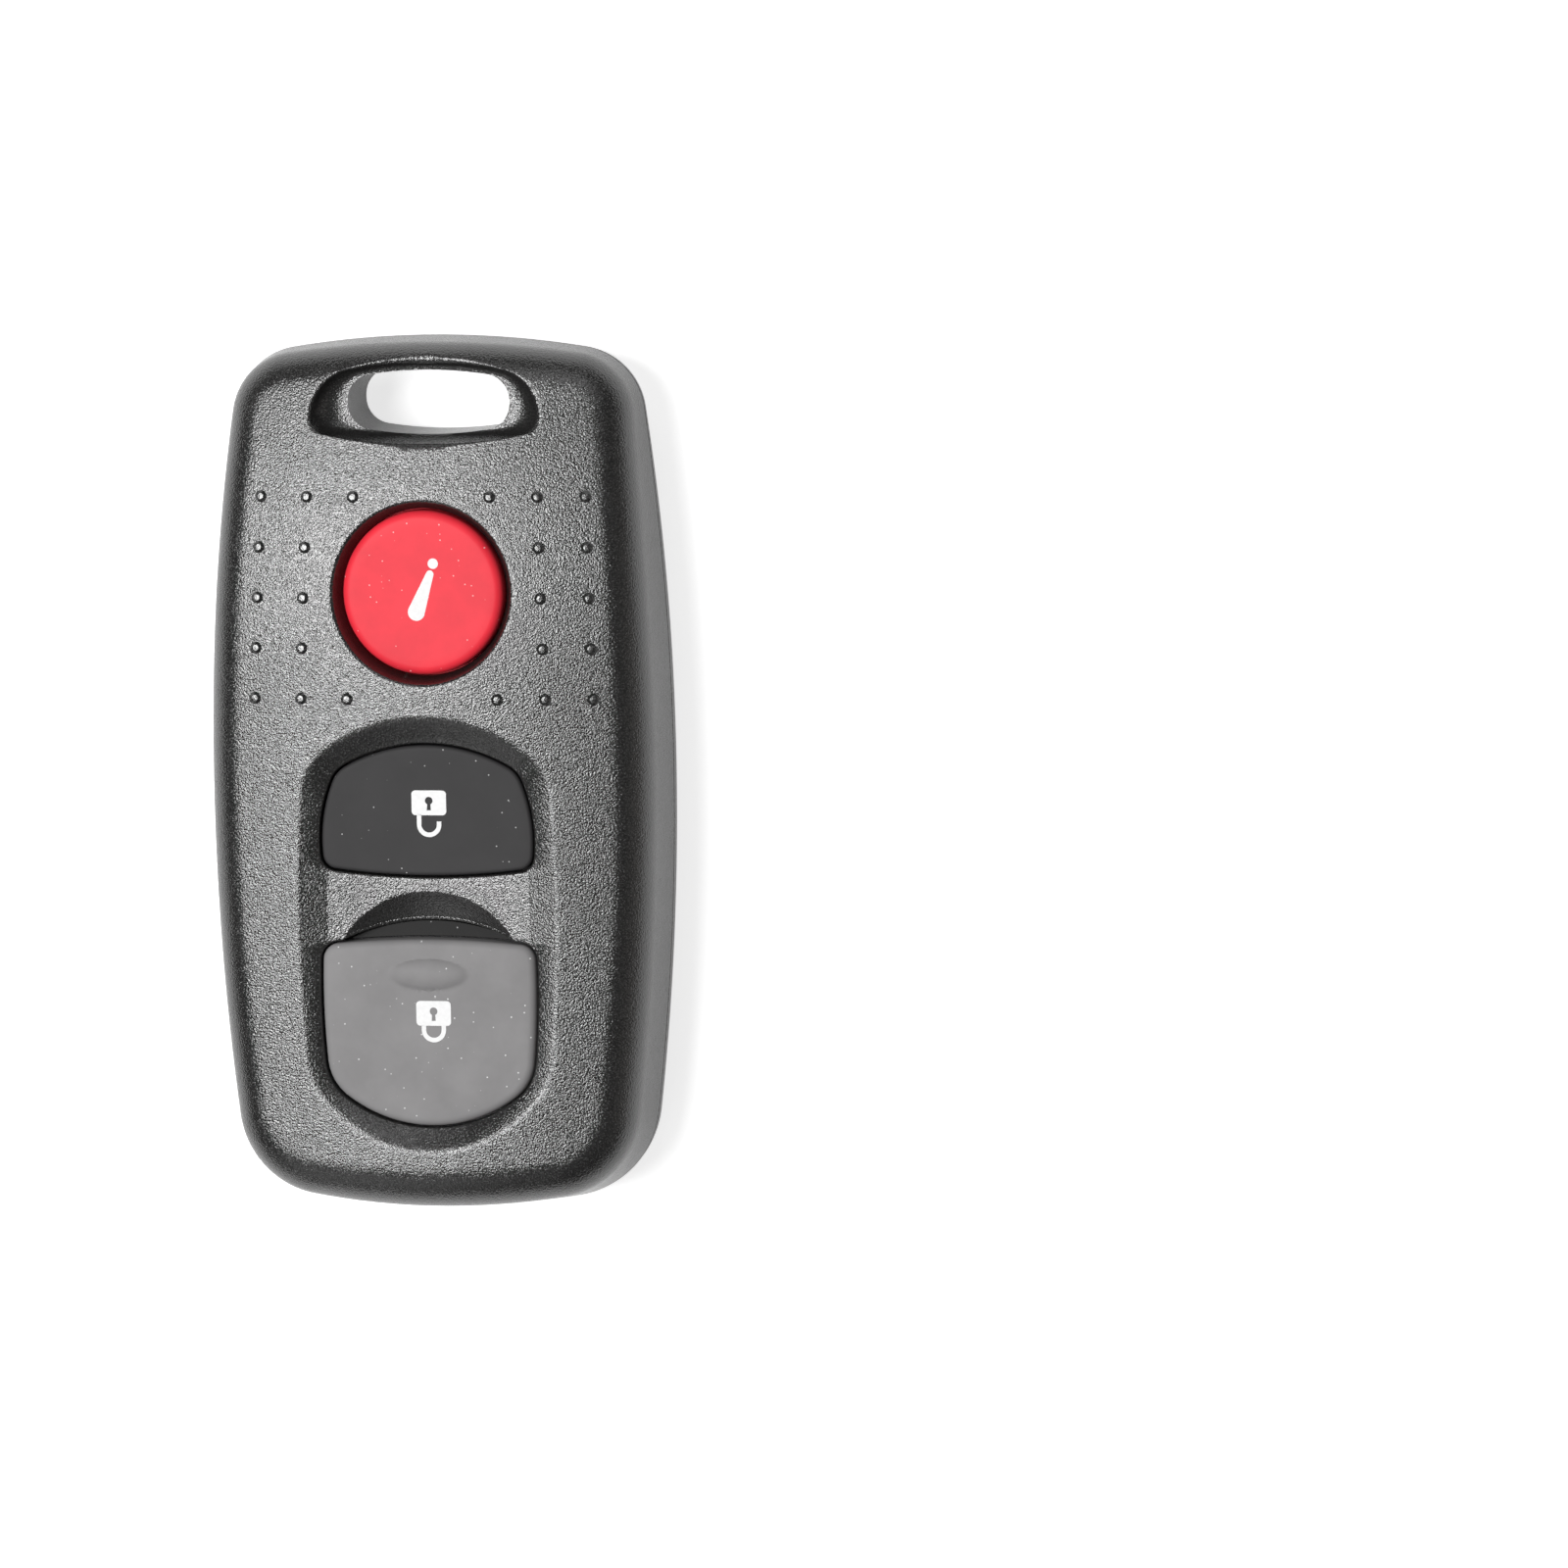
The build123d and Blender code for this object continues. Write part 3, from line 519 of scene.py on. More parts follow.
def dish_core(piece, line, rim_height, mouth, mouth_height, sag, roof):
    """The hollow mouth of the slot on one side of the fob."""
    tree = tree_of(piece)
    paths = []
    upright = 1.0 if mouth_height > rim_height else -1.0
    for (place, _), (far, _) in zip(line, mouth):
        foot = Vector((place.x, place.y, rim_height))
        up = (Vector((far.x, far.y, mouth_height)) - foot).normalized()
        out = Vector((up.x, up.y, 0.0)).normalized()
        edge, normal, _, _ = tree.ray_cast(foot, up)
        if normal.z * upright < 0:
            normal = -normal
        away = (out - normal * out.dot(normal)).normalized()
        rim = bend(edge, up, away, 0.55, 5, 1 - radians(14.0) / up.angle(away))
        onward = (rim[-1] - rim[-2]).normalized()
        rim.append(rim[-1] + onward * 0.7)
        rim.append(Vector((rim[-1].x, rim[-1].y, roof)))
        deep = (up.cross(Vector((-out.y, out.x, 0.0)))).normalized()
        if deep.z * upright > 0:
            deep = -deep
        wide = min(1.0, (edge - foot).length / 3.5) * Vector((up.x, up.y)).length
        wall = []
        for step in range(1, 7):
            share = step / 7
            wall.append(foot.lerp(rim[0], share) + deep * (sag * wide * 4 * share * (1 - share)))
        start = Vector((place.x, place.y, rim_height - 0.5 * upright))
        paths.append([start, foot] + wall + rim)
    return stack_rings("dish_core", rings_of(paths))


slot_line = outline(**slot_shape)
combine(front, dish_core(front, slot_line, 9.3, outline(**mouth_shape(0.25)), 12.7, 0.75, 15.0))
combine(front, block("slot_core", slot_line, seam - 1.0, 12.0))
print("with slot", len(front.data.polygons), "faces")

# %% [markdown]
# ## The inside of the front half
# The shell is a hollow moulding, 1.5 mm thick, with a deck that carries the keys, a wall round
# the slot and posts that press on the board. The inside is the outer form again, inset by the
# wall, less the deck and the slot's wall. A rebate round the foot takes the back half's lip.

# %% Hollow out the front half
wall = 1.5
slot_wall = 2.2
rough_case = outline(*case_shape)
mat_line = outline(22.0, 22.6, -29.6, 213.0, -3.5, 72.7, 58.6, 4.0, 4.0)
post_places = ((11.6, -24.0), (12.5, -2.0), (11.6, 19.0))
pin_place = (12.5, 9.5)


def band(name, outer, inner, low, high):
    """An upright band between two outlines."""
    ring = block(name, outer, low, high)
    return combine(ring, block("inner", inner, low - 1.0, high + 1.0))


def add_posts(shell, places, radius, low, high):
    """Upright round posts in a shell, at places on both sides of its middle."""
    for x, y in places:
        for side in (-1, 1):
            combine(shell, block("post", circle(radius, side * x, y, 32), low, high), "UNION")


rough_steps = dict(side_steps=2, edge_steps=6, face_steps=10)
hollow = half_form("hollow", wall, rough_case, **front_half, **rough_steps)
combine(hollow, block("ring_wall", grown(slot_line, slot_wall), seam - 1.0, 15.0))
combine(hollow, block("deck_block", grown(mat_line, 1.2), deck, 15.0))
combine(front, hollow)
combine(front, band("rebate", grown(rough_case, -0.7), grown(rough_case, -1.7), 4.8, 6.4))
add_posts(front, post_places, 1.1, 6.05, deck + 0.3)
print("hollow front", len(front.data.polygons), "faces")

# %% [markdown]
# ## The back half
# The back half has a lower side, a wider rounding and a flat face that rises towards the ring
# end. It has a shallow pocket for a label and the other mouth of the slot, and it is hollowed
# out with the same wall as the front half.

# %% Form the back half
def pocket_core():
    """The label pocket, whose floor follows the back face."""
    line = outline(16.6, 19.5, -9.7, 2000.0, 4.9, 2000.0, 2000.0, 1.0, 1.0, (16, 6, 30, 6, 16))
    paths = []
    for place, _ in line:
        path = [Vector((place.x, place.y, -2.0))]
        for step in range(11):
            spot = place.lerp(Vector((0, max(-3.0, min(13.0, place.y)))), step / 10)
            path.append(Vector((spot.x, spot.y, tail(spot.x, spot.y, 0.4))))
        paths.append(path)
    return stack_rings("pocket_core", rings_of(paths), "merge")


back = half_form("back_shell", 0.0, case_line, **back_half, face_steps=30)
combine(back, pocket_core())
combine(back, dish_core(back, slot_line, 3.1, outline(**mouth_shape(1.1)), -0.3, 0.25, -3.0))
combine(back, block("slot_core", slot_line, -2.0, seam + 1.0))
hollow = half_form("hollow", wall, rough_case, **back_half, **rough_steps)
combine(hollow, block("ring_wall", grown(slot_line, slot_wall), -2.0, seam + 2.0))
combine(back, hollow)
print("hollow back", len(back.data.polygons), "faces")

# %% [markdown]
# ### What the back half carries
# A lip round the edge goes into the front half's rebate. A round fence holds the coin cell, which
# lies on a low ring, and posts carry the board, two of them with a pin that goes through it.

# %% Add the lip, the fence, the posts and the pins
inner_face = wall - 0.2
cell_y = -14.5


def cell_ring(name, outer, inner, high):
    """A ring round the coin cell that stands on the inner face."""
    return band(name, circle(outer, 0, cell_y, 96), circle(inner, 0, cell_y, 96), inner_face, high)


combine(back, band("lip", grown(rough_case, -0.8), grown(rough_case, -1.45), 4.9, 6.3), "UNION")
combine(back, cell_ring("fence", 10.9, 10.1, 3.9), "UNION")
combine(back, cell_ring("pad", 8.0, 6.0, 1.7), "UNION")
add_posts(back, (*post_places, pin_place), 1.5, inner_face, 5.0)
add_posts(back, [pin_place], 0.7, 4.5, 6.6)
print("back half", len(back.data.polygons), "faces")

# %% [markdown]
# ## The keys
# Each key is a hollow cap with a flange that keeps it in its hole and a post over its switch.
# One path per station draws the whole cap: up the post, along the ceiling, down the inner wall,
# round the flange, up the side, over the rounded edge and across the top. The lock key has a
# low oval nub that a thumb can feel, so its top rings close on the middle of the nub.

# %% Make the keys
key_gap = 0.15
key_wall = 1.2
flange_low, flange_high, flange_reach = 9.55, 10.35, 0.8
post_radius, post_foot = 1.2, 8.32
panic_top = 12.6


def level_face(x, y):
    """The top of the panic key, which is flat."""
    return panic_top


def key_cap(name, line, face, rounding, post_y, pole, ceiling, limit=100.0, steps=32, bunch=1.0):
    """A hollow key cap; the flange stops at a limit along Y."""
    paths = []
    for station in line:
        place, way = station
        reach = flange_reach
        if way.y > 0:
            reach = max(0.01, min(reach, (limit - place.y) / way.y))
        foot = Vector((way.x * post_radius, post_y + way.y * post_radius, post_foot))
        path = [foot, Vector((foot.x, foot.y, ceiling))]
        path += [point_at(station, key_wall, height) for height in (ceiling, flange_low)]
        path += [point_at(station, -reach, height) for height in (flange_low, flange_high)]
        path.append(point_at(station, 0.0, flange_high))
        edge = Vector((place.x, place.y, face(place.x, place.y)))
        near = place - way * 0.01
        inward = Vector((near.x, near.y, face(near.x, near.y))) - edge
        path += bend(edge, Vector((0, 0, 1)), inward.normalized(), rounding, 6)
        rim = path[-1]
        goal = Vector((0.0, max(pole[0], min(pole[1], rim.y)), 0.0))
        for step in range(1, steps + 1):
            share = 1 - (1 - step / steps) ** bunch
            spot = rim.lerp(goal, share)
            path.append(Vector((spot.x, spot.y, face(spot.x, spot.y))))
        paths.append(path)
    return stack_rings(name, rings_of(paths), "merge")


def lock_face(x, y):
    """The top of the lock key, with its nub."""
    across = (x / 3.0) ** 2 + ((y + 14.8) / 1.2) ** 2
    return key_height(x, y) + 0.3 + 0.5 * max(0.0, 1 - across) ** 0.75


unlock_line = grown(outline(**unlock_shape), -key_gap)
unlock_key = key_cap("unlock_cap", unlock_line, key_height, 0.28, -2.3,
                     (-4.5, -1.0), 11.2, steps=18)
lock_line = grown(outline(**lock_shape), -key_gap)
lock_key = key_cap("lock_cap", lock_line, lock_face, 0.6, -19.0, (-14.8, -14.8), 11.5,
                   limit=-12.95, steps=40, bunch=1.9)
panic_line = circle(well_radius - key_gap, 0, panic_y, 160)
panic_key = key_cap("panic_cap", panic_line, level_face, 0.65, panic_y, (panic_y, panic_y), 11.4,
                    steps=10)
for key in (unlock_key, lock_key, panic_key):
    print(key.name, len(key.data.polygons), "faces")

# %% [markdown]
# ## The pips
# Five rows of small round pips stand on the face either side of the panic key. Each is a little
# cone with its top cut off and a soft top edge, so that a dark ring shows round a bright middle.
# They are all one mesh, and each sinks a little into the face instead of being joined to it.

# %% Make the pips
row_step, column_step = 3.84, 3.67
pips_x, pips_y = 12.93, 13.97


def pip_places():
    """Rows of places either side, with a third column in the first and last rows."""
    places = []
    for row in range(5):
        from_middle = (2 - row) * row_step
        for column in range(3 if row in (0, 4) else 2):
            x = pips_x - column * column_step - 0.035 * from_middle
            places += [(x, pips_y + from_middle), (-x, pips_y + from_middle)]
    return places


def make_pips():
    """All pips in one mesh, each tilted with the face."""
    bm = bmesh.new()
    for x, y in pip_places():
        made = bmesh.ops.create_cone(bm, segments=32, radius1=0.585, radius2=0.265, depth=0.32,
                                     cap_ends=True, cap_tris=False)["verts"]
        upper = {vert for vert in made if vert.co.z > 0}
        rim = {edge for vert in upper for edge in vert.link_edges
               if edge.other_vert(vert) in upper}
        rounded = bmesh.ops.bevel(bm, geom=list(rim), offset=0.04, segments=3, profile=0.5,
                                  affect="EDGES", material=-1)["verts"]
        island = {vert for vert in made if vert.is_valid} | set(rounded)
        tilt = Vector((0, 0, 1)).rotation_difference(crown_normal(x, y)).to_matrix().to_4x4()
        place = Matrix.Translation((x, y, crown(x, y) + 0.04)) @ tilt
        bmesh.ops.transform(bm, verts=list(island), matrix=place)
    bmesh.ops.recalc_face_normals(bm, faces=bm.faces[:])
    return as_object("pips", bm)


pips = make_pips()
print("pips", len(pip_places()), "with", len(pips.data.polygons), "faces")

# %% [markdown]
# ## The signs
# White signs are printed on the keys: a closed padlock on the lock key, an open one on the
# unlock key, and a slanted exclamation sign on the panic key. They read the right way up when
# the ring end points down, as on the real fob. Each is a thin film that stands hardly proud of
# its key, so it follows the key and catches the light like paint.

# %% Make the signs
def film(name, line, face, lift=0.03):
    """A thin raised film inside an outline, on a key's top."""
    rings = []
    for depth in (-0.1, lift):
        rings.append([Vector((p.x, p.y, face(p.x, p.y) + depth)) for p, _ in line])
    return stack_rings(name, rings)


def tapered_bar(start, start_radius, end, end_radius, steps=20):
    """Stations round a bar with two round ends of different sizes."""
    run = end - start
    heading = atan2(run.y, run.x)
    lean = asin((end_radius - start_radius) / run.length)
    right, left = heading - pi / 2 - lean, heading + pi / 2 + lean
    first = walk_arc(start, start_radius, right + 2 * pi, left, steps)
    last = walk_arc(end, end_radius, left, right, steps)
    first_end = start + Vector((cos(left), sin(left))) * start_radius
    last_end = end + Vector((cos(right), sin(right))) * end_radius
    return first + [(first_end, None)] + last[1:] + [(last_end, None)]


def join(name, pieces):
    """Several meshes as one piece."""
    bm = bmesh.new()
    for piece in pieces:
        bm.from_mesh(piece.data)
        bpy.data.objects.remove(piece)
    return as_object(name, bm)


def padlock(name, x, y, face, lift_shackle):
    """A padlock whose shackle points towards the lock end of the fob."""
    body = outline(2.7, 0.95, -0.95, 400.0, 0.0, 400.0, 400.0, 0.3, 0.3, (4, 6, 4, 6, 4))
    body = film("padlock_body", [(p + Vector((x, y + 0.62)), n) for p, n in body], face)
    combine(body, film("keyhole", circle(0.3, x, y + 0.78, 24), face, 0.3))
    combine(body, film("keyway", [(Vector((x + a, y + b)), None) for a, b in (
        (-0.11, 0.7), (0.11, 0.7), (0.16, 0.05), (-0.16, 0.05))], face, 0.3))
    outer, inner, leg = 0.95, 0.6, 0.75
    foot = y - 0.25
    centre = Vector((x, foot - leg + 0.35 - lift_shackle))
    arch = walk_arc(centre, outer, 0.0, -pi, 24) + [(centre + Vector((-outer, 0)), None)]
    back_arch = walk_arc(centre, inner, -pi, 0.0, 24) + [(centre + Vector((inner, 0)), None)]
    near = foot + 0.1
    short = near if not lift_shackle else centre.y + 0.25
    legs = [(Vector((x - outer, near)), None), (Vector((x - inner, near)), None)]
    ends = [(Vector((x + inner, short)), None), (Vector((x + outer, short)), None)]
    shackle = film("shackle", arch + legs + back_arch + ends, face)
    return join(name, [body, shackle])


lock_sign = padlock("lock_sign", 0.35, -18.4, lock_face, 0.0)
unlock_sign = padlock("unlock_sign", 0.2, -2.3, key_height, 0.4)
dot = film("dot", circle(0.4, 0.9, 16.6, 32), level_face, 0.02)
stroke = film("stroke", tapered_bar(Vector((0.65, 15.8)), 0.29, Vector((-0.45, 12.9)), 0.66),
              level_face, 0.02)
panic_sign = join("panic_sign", [dot, stroke])
print("signs", len(lock_sign.data.polygons), len(unlock_sign.data.polygons))

# %% [markdown]
# ## Finishes
# The shell is black nylon from a spark-eroded mould: a fine pebble grain that breaks every
# highlight into sparkle. The keys are silicone rubber, smoother and flatter, with a little white
# dust. Every finish reads the piece's own place, in metres, so that its grain keeps its size.

# %% Material helpers
def new_material(name, colour, roughness, metallic=0.0):
    """A material with one shader, and ways to add nodes to it."""
    material = bpy.data.materials.new(name)
    material.use_nodes = True
    nodes = material.node_tree.nodes
    shader = nodes["Principled BSDF"]
    shader.inputs["Base Color"].default_value = (*colour, 1.0)
    shader.inputs["Roughness"].default_value = roughness
    shader.inputs["Metallic"].default_value = metallic
    return material, shader


def add(material, kind, values=None, **settings):
    """A new node with input values by name and settings of its own."""
    node = material.node_tree.nodes.new(kind)
    for name, value in settings.items():
        setattr(node, name, value)
    for name, value in (values or {}).items():
        node.inputs[name].default_value = value
    return node


def join_nodes(material, start, end):
    """Links one node's output to another's input."""
    material.node_tree.links.new(start, end)


def own_place(material, stretch):
    """The piece's own place, stretched by a factor along each direction."""
    place = add(material, "ShaderNodeTexCoord").outputs["Object"]
    mapping = add(material, "ShaderNodeMapping", {"Scale": stretch})
    join_nodes(material, place, mapping.inputs["Vector"])
    return mapping.outputs["Vector"]


def product(material, first, second):
    """One value times another."""
    times = add(material, "ShaderNodeMath", operation="MULTIPLY")
    join_nodes(material, first, times.inputs[0])
    join_nodes(material, second, times.inputs[1])
    return times.outputs["Value"]


def noise(material, size, detail=2.0, roughness=0.55, stretch=(1.0, 1.0, 1.0)):
    """Noise on the piece's own place; size is that of its lumps, in metres."""
    place = own_place(material, stretch)
    texture = add(material, "ShaderNodeTexNoise",
                  {"Scale": 1.0 / size, "Detail": detail, "Roughness": roughness})
    join_nodes(material, place, texture.inputs["Vector"])
    return texture.outputs["Fac"]


def ramp(material, value, *stops):
    """Turns a value into colours or greys, given as (place, colour or grey)."""
    node = add(material, "ShaderNodeValToRGB")
    join_nodes(material, value, node.inputs["Fac"])
    bar = node.color_ramp
    while len(bar.elements) < len(stops):
        bar.elements.new(0.5)
    for element, (place, colour) in zip(bar.elements, stops):
        element.position = place
        if isinstance(colour, float):
            colour = (colour, colour, colour)
        element.color = (*colour, 1.0)
    return node.outputs["Color"]


def shades(colour, change):
    """Ramp stops for a colour that is a share darker and lighter."""
    low = tuple(c * (1 - change) for c in colour)
    high = tuple(min(1.0, c * (1 + change)) for c in colour)
    return (0.3, low), (0.7, high)


def bump(material, shader, heights):
    """Adds bumps one on another, given as (value, strength, depth in metres)."""
    last = None
    for value, strength, depth in heights:
        node = add(material, "ShaderNodeBump", {"Strength": strength, "Distance": depth})
        join_nodes(material, value, node.inputs["Height"])
        if last is not None:
            join_nodes(material, last, node.inputs["Normal"])
        last = node.outputs["Normal"]
    join_nodes(material, last, shader.inputs["Normal"])


# %% [markdown]
# ### The grained shell
# Two sizes of noise make the pebble grain: lumps of about a seventh of a millimetre, and finer
# ones between them. The grain shows mostly through its bumps, which are a twentieth of a
# millimetre high, and the colour itself changes only a little from lump to lump. The pips have
# the same finish with nearly no grain, so that their tops stay bright.

# %% Shell plastic
def shell_finish(name, grain_depth):
    """Black nylon with pebble grain of a given depth, in metres."""
    material, shader = new_material(name, (0.018, 0.0177, 0.0173), 0.2)
    shader.inputs["Specular IOR Level"].default_value = 0.93
    coarse_grain = noise(material, 0.00014, 1.5, 0.5)
    fine_grain = noise(material, 0.00008, 0.0, 0.5)
    low, high = (0.01, 0.0098, 0.0095), (0.03, 0.0296, 0.029)
    tone = ramp(material, coarse_grain, (0.35, low), (0.65, high))
    join_nodes(material, tone, shader.inputs["Base Color"])
    gloss = ramp(material, noise(material, 0.004, 3.0), (0.3, 0.18), (0.7, 0.23))
    join_nodes(material, gloss, shader.inputs["Roughness"])
    bump(material, shader, [(coarse_grain, 1.0, grain_depth), (fine_grain, 1.0, 0.00001)])
    return material


shell_plastic = shell_finish("shell_plastic", 0.00005)
pip_plastic = shell_finish("pip_plastic", 0.00001)
print("made", shell_plastic.name, pip_plastic.name)

# %% [markdown]
# ### The rubber keys
# Silicone rubber is smooth and dull, with a soft sheen at the edges. Its lint shows as tiny
# white specks, which here are the hearts of a few cells of a flat cell pattern.

# %% Key rubber
def lint(material, cell, size, keep):
    """Grey value that is high on a few tiny specks; cell and size are in metres."""
    place = own_place(material, (1.0, 1.0, 0.02))
    cells = add(material, "ShaderNodeTexVoronoi", {"Scale": 1.0 / cell})
    join_nodes(material, place, cells.inputs["Vector"])
    near = ramp(material, cells.outputs["Distance"], (size / cell * 0.5, 1.0), (size / cell, 0.0))
    parts = add(material, "ShaderNodeSeparateColor")
    join_nodes(material, cells.outputs["Color"], parts.inputs["Color"])
    few = ramp(material, parts.outputs["Red"], (1.0 - keep, 0.0), (1.0 - keep + 0.02, 1.0))
    return product(material, near, few)


def rubber_finish(name, colour, roughness, speck, specular, grain=0.12):
    """Smooth, dull rubber with lint of a given colour."""
    material, shader = new_material(name, colour, roughness)
    shader.inputs["Specular IOR Level"].default_value = specular
    tone = ramp(material, noise(material, 0.003, 3.0), *shades(colour, 0.07))
    mix = add(material, "ShaderNodeMix", data_type="RGBA")
    join_nodes(material, lint(material, 0.0005, 0.00007, 0.3), mix.inputs["Factor"])
    join_nodes(material, tone, mix.inputs["A"])
    mix.inputs["B"].default_value = (*speck, 1.0)
    join_nodes(material, mix.outputs["Result"], shader.inputs["Base Color"])
    bump(material, shader, [(noise(material, 0.00016, 1.0), grain, 0.00003)])
    return material


dark_rubber = rubber_finish("dark_key_rubber", (0.036, 0.035, 0.036), 0.62, (0.5, 0.5, 0.5), 0.25)
grey_rubber = rubber_finish("grey_key_rubber", (0.245, 0.24, 0.242), 0.62, (0.8, 0.8, 0.8), 0.25)
red_plastic = rubber_finish("red_key_plastic", (0.84, 0.031, 0.052), 0.5, (0.95, 0.5, 0.5), 0.25)
mat_rubber = rubber_finish("mat_rubber", (0.016, 0.0155, 0.0155), 0.6, (0.4, 0.4, 0.4), 0.2)
print("made", [m.name for m in (dark_rubber, grey_rubber, red_plastic, mat_rubber)])

# %% [markdown]
# ### The printed signs
# The white ink is a little uneven where it was printed, and slightly rough.

# %% Ink
def ink_finish():
    """White ink, a little uneven."""
    material, shader = new_material("white_ink", (0.82, 0.82, 0.82), 0.5)
    tone = ramp(material, noise(material, 0.0004, 2.0), (0.3, 0.79), (0.6, 0.84))
    join_nodes(material, tone, shader.inputs["Base Color"])
    bump(material, shader, [(noise(material, 0.0002), 0.15, 0.00002)])
    return material


white_ink = ink_finish()
print("made", white_ink.name)

# %% [markdown]
# ### The parts inside
# The board, its parts and the coin cell stay as the CAD model has them, with real finishes:
# green laminate with the weave of its glass cloth, tinned and sprung metal with fine scratches,
# dark resin, white ceramic, and the felt and powders in the cell.

# %% Finishes for the parts inside
def metal_finish(name, colour, roughness, scratch=0.3, stretch=(1.0, 12.0, 1.0)):
    """Metal with fine scratches along one direction."""
    material, shader = new_material(name, colour, roughness, 1.0)
    lines = noise(material, 0.0008, 3.0, 0.6, stretch)
    join_nodes(material, ramp(material, lines, (0.3, roughness * 0.8), (0.7, roughness * 1.25)),
               shader.inputs["Roughness"])
    bump(material, shader, [(lines, scratch, 0.00001)])
    return material


def solid_finish(name, colour, roughness, lump, change=0.12, depth=0.00002):
    """A solid whose colour and height change a little from lump to lump."""
    material, shader = new_material(name, colour, roughness)
    cloud = noise(material, lump, 3.0, 0.6)
    tone = ramp(material, cloud, *shades(colour, change))
    join_nodes(material, tone, shader.inputs["Base Color"])
    bump(material, shader, [(cloud, 0.3, depth)])
    return material


def laminate_finish():
    """Green lacquer over woven glass: two crossed sets of waves."""
    material, shader = new_material("board_laminate", (0.02, 0.12, 0.05), 0.32)
    place = add(material, "ShaderNodeTexCoord").outputs["Object"]
    weave = []
    for direction in ("X", "Y"):
        wave = add(material, "ShaderNodeTexWave", {"Scale": 900.0, "Distortion": 0.5},
                   bands_direction=direction)
        join_nodes(material, place, wave.inputs["Vector"])
        weave.append(wave.outputs["Fac"])
    cloth = product(material, *weave)
    tone = ramp(material, cloth, (0.0, (0.015, 0.09, 0.04)), (1.0, (0.03, 0.16, 0.07)))
    join_nodes(material, tone, shader.inputs["Base Color"])
    bump(material, shader, [(cloth, 0.2, 0.00002)])
    return material


inside_finishes = {"board_laminate": laminate_finish(), "mat_rubber": mat_rubber}
for name, colour, roughness in (
        ("copper", (0.72, 0.35, 0.2), 0.3), ("tinned_metal", (0.75, 0.75, 0.73), 0.3),
        ("can_steel", (0.62, 0.62, 0.61), 0.28), ("spring_steel", (0.55, 0.54, 0.5), 0.25),
        ("anode_metal", (0.6, 0.6, 0.62), 0.45)):
    inside_finishes[name] = metal_finish(name, colour, roughness)
for name, colour, *values in (
        ("chip_resin", (0.03, 0.03, 0.032), 0.6, 0.0003),
        ("ceramic", (0.75, 0.7, 0.6), 0.5, 0.0004, 0.05),
        ("resistor_ceramic", (0.05, 0.05, 0.055), 0.45, 0.0004),
        ("capacitor_ceramic", (0.42, 0.3, 0.18), 0.45, 0.0004),
        ("gasket_nylon", (0.3, 0.42, 0.5), 0.5, 0.0005),
        ("cathode_powder", (0.03, 0.03, 0.03), 0.9, 0.0002, 0.3, 0.00005),
        ("separator_felt", (0.8, 0.78, 0.72), 0.9, 0.0002, 0.1, 0.00005),
        ("switch_plastic", (0.04, 0.04, 0.042), 0.5, 0.0005),
        ("plunger_plastic", (0.5, 0.3, 0.12), 0.5, 0.0006)):
    inside_finishes[name] = solid_finish(name, colour, *values)
print("finishes for the parts inside", len(inside_finishes))

# %% [markdown]
# ## Putting the pieces on their bodies
# Each finished piece is scaled to metres, shaded smooth except at real edges, and given to the
# body of the CAD model that it moves with. The shells and keys stand for their CAD nodes. The
# other nodes keep their own meshes and only get a finish.

# %% Finish the pieces
def finish(piece, material, body, node=None, angle=31.0):
    """Scales, shades and dresses a piece, and gives it to its body."""
    piece.data.transform(Matrix.Scale(mm, 4))
    piece.data.materials.clear()
    piece.data.materials.append(material)
    piece.data.shade_smooth()
    piece.data.set_sharp_from_angle(angle=radians(angle))
    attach(piece, body)
    if node:
        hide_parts(node)


finish(front, shell_plastic, "case", "front_case")
finish(back, shell_plastic, "case", "back_case")
finish(pips, pip_plastic, "case")
finish(lock_key, grey_rubber, "lock_key", "lock_key")
finish(unlock_key, dark_rubber, "unlock_key", "unlock_key")
finish(panic_key, red_plastic, "panic_key", "panic_key")
finish(lock_sign, white_ink, "lock_key")
finish(unlock_sign, white_ink, "unlock_key")
finish(panic_sign, white_ink, "panic_key")

slot_of = {
    "key_mat": "mat_rubber", "circuit_board": "board_laminate", "antenna_loop": "copper",
    "chip_body": "chip_resin", "chip_leads": "tinned_metal", "crystal_base": "ceramic",
    "crystal_can": "can_steel", "resistors": "resistor_ceramic",
    "capacitors": "capacitor_ceramic", "minus_contact": "spring_steel",
    "plus_contact": "spring_steel", "cell_can": "can_steel", "cell_gasket": "gasket_nylon",
    "cell_cap": "can_steel", "cell_cathode": "cathode_powder",
    "cell_separator": "separator_felt", "cell_anode": "anode_metal",
}
switch_slots = {"base": "switch_plastic", "cover": "can_steel", "plunger": "plunger_plastic",
                "dome": "spring_steel", "terminals": "tinned_metal"}
dressed = []
for name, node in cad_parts.items():
    if node.hide_render:
        continue
    slot = slot_of.get(name) or switch_slots[name.rsplit("_", 1)[1]]
    material = inside_finishes[slot]
    for index in range(len(node.data.materials)):
        node.data.materials[index] = material
    dressed.append(name)
print("CAD nodes with a finish", len(dressed))

# %% [markdown]
# ## Floor and light
# The fob lies on a plain pale sheet. The sheet keeps the fob's shadow, and looks white to the
# camera because some of its whiteness is added for the camera alone, and a little for mirrored
# rays. A wide soft lamp hangs over the left of the fob, so that the face is bright there and
# darker on its right. Weaker ones stand at the ring end, at the lock end and at the right, where
# the light is a little warm.

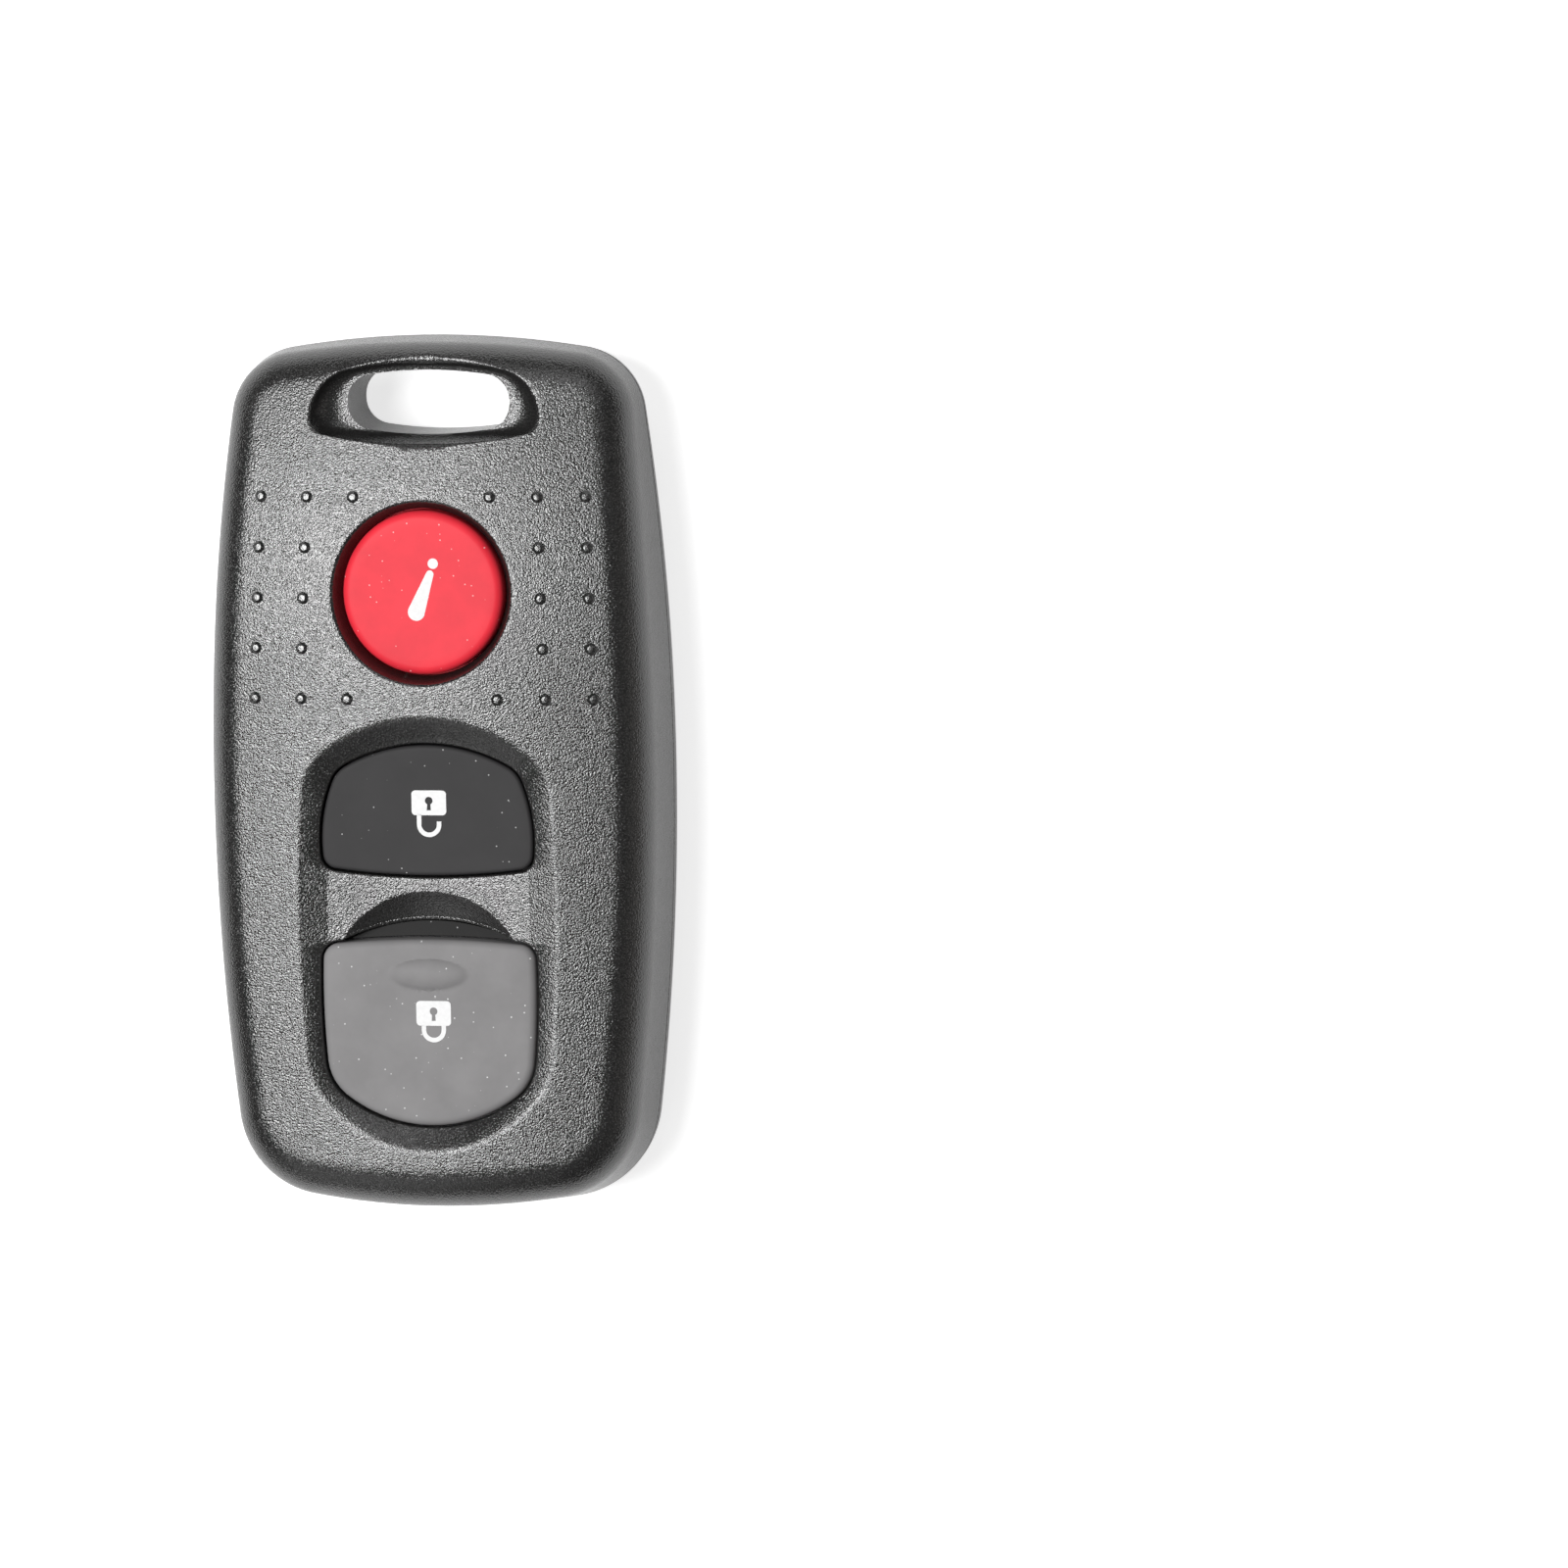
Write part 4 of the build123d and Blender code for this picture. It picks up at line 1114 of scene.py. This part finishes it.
# %% Floor, lamps and world
def make_floor(camera_glow=0.75, mirror_glow=0.4):
    """A pale sheet that glows a little for the camera and for mirrored rays."""
    bm = bmesh.new()
    bmesh.ops.create_grid(bm, x_segments=1, y_segments=1, size=3.0,
                          matrix=Matrix.Translation((0, 0, -0.00005)))
    floor = as_object("floor", bm)
    material, shader = new_material("white_sheet", (0.8, 0.8, 0.8), 0.9)
    shader.inputs["Specular IOR Level"].default_value = 0.0
    path = add(material, "ShaderNodeLightPath")
    mirrored = add(material, "ShaderNodeMath", operation="MULTIPLY")
    join_nodes(material, path.outputs["Is Glossy Ray"], mirrored.inputs[0])
    mirrored.inputs[1].default_value = mirror_glow
    glow = add(material, "ShaderNodeMath", operation="MULTIPLY_ADD")
    join_nodes(material, path.outputs["Is Camera Ray"], glow.inputs[0])
    glow.inputs[1].default_value = camera_glow
    join_nodes(material, mirrored.outputs["Value"], glow.inputs[2])
    shader.inputs["Emission Color"].default_value = (1, 1, 1, 1)
    join_nodes(material, glow.outputs["Value"], shader.inputs["Emission Strength"])
    floor.data.materials.append(material)


def lamp(name, place, width, height, power, colour=(1, 1, 1)):
    """A soft rectangular lamp that faces the fob."""
    data = bpy.data.lights.new(name, "AREA")
    data.shape = "RECTANGLE"
    data.size, data.size_y = width, height
    data.energy = power
    data.color = colour
    light = bpy.data.objects.new(name, data)
    light.location = place
    light.rotation_euler = (-Vector(place)).to_track_quat("-Z", "Y").to_euler()
    bpy.context.scene.collection.objects.link(light)


make_floor()
lamp("main_lamp", (-0.32, 0.08, 0.94), 0.42, 0.46, 9.9)
lamp("top_lamp", (0.08, 0.72, 0.7), 0.6, 0.3, 1.3)
lamp("low_lamp", (-0.4, -0.75, 0.6), 0.5, 0.5, 0.8)
lamp("fill_lamp", (0.9, -0.1, 0.3), 0.3, 0.6, 0.3, (1.0, 0.93, 0.88))
world = bpy.data.worlds.new("studio")
world.use_nodes = True
sky = world.node_tree.nodes["Background"].inputs
sky["Color"].default_value = (1, 1, 1, 1)
sky["Strength"].default_value = 0.06
bpy.context.scene.world = world
bpy.context.scene.view_settings.view_transform = "Standard"

# %% [markdown]
# ## The end
# The dressed fob is made to stay inside the box of the CAD model.


print("scene built")
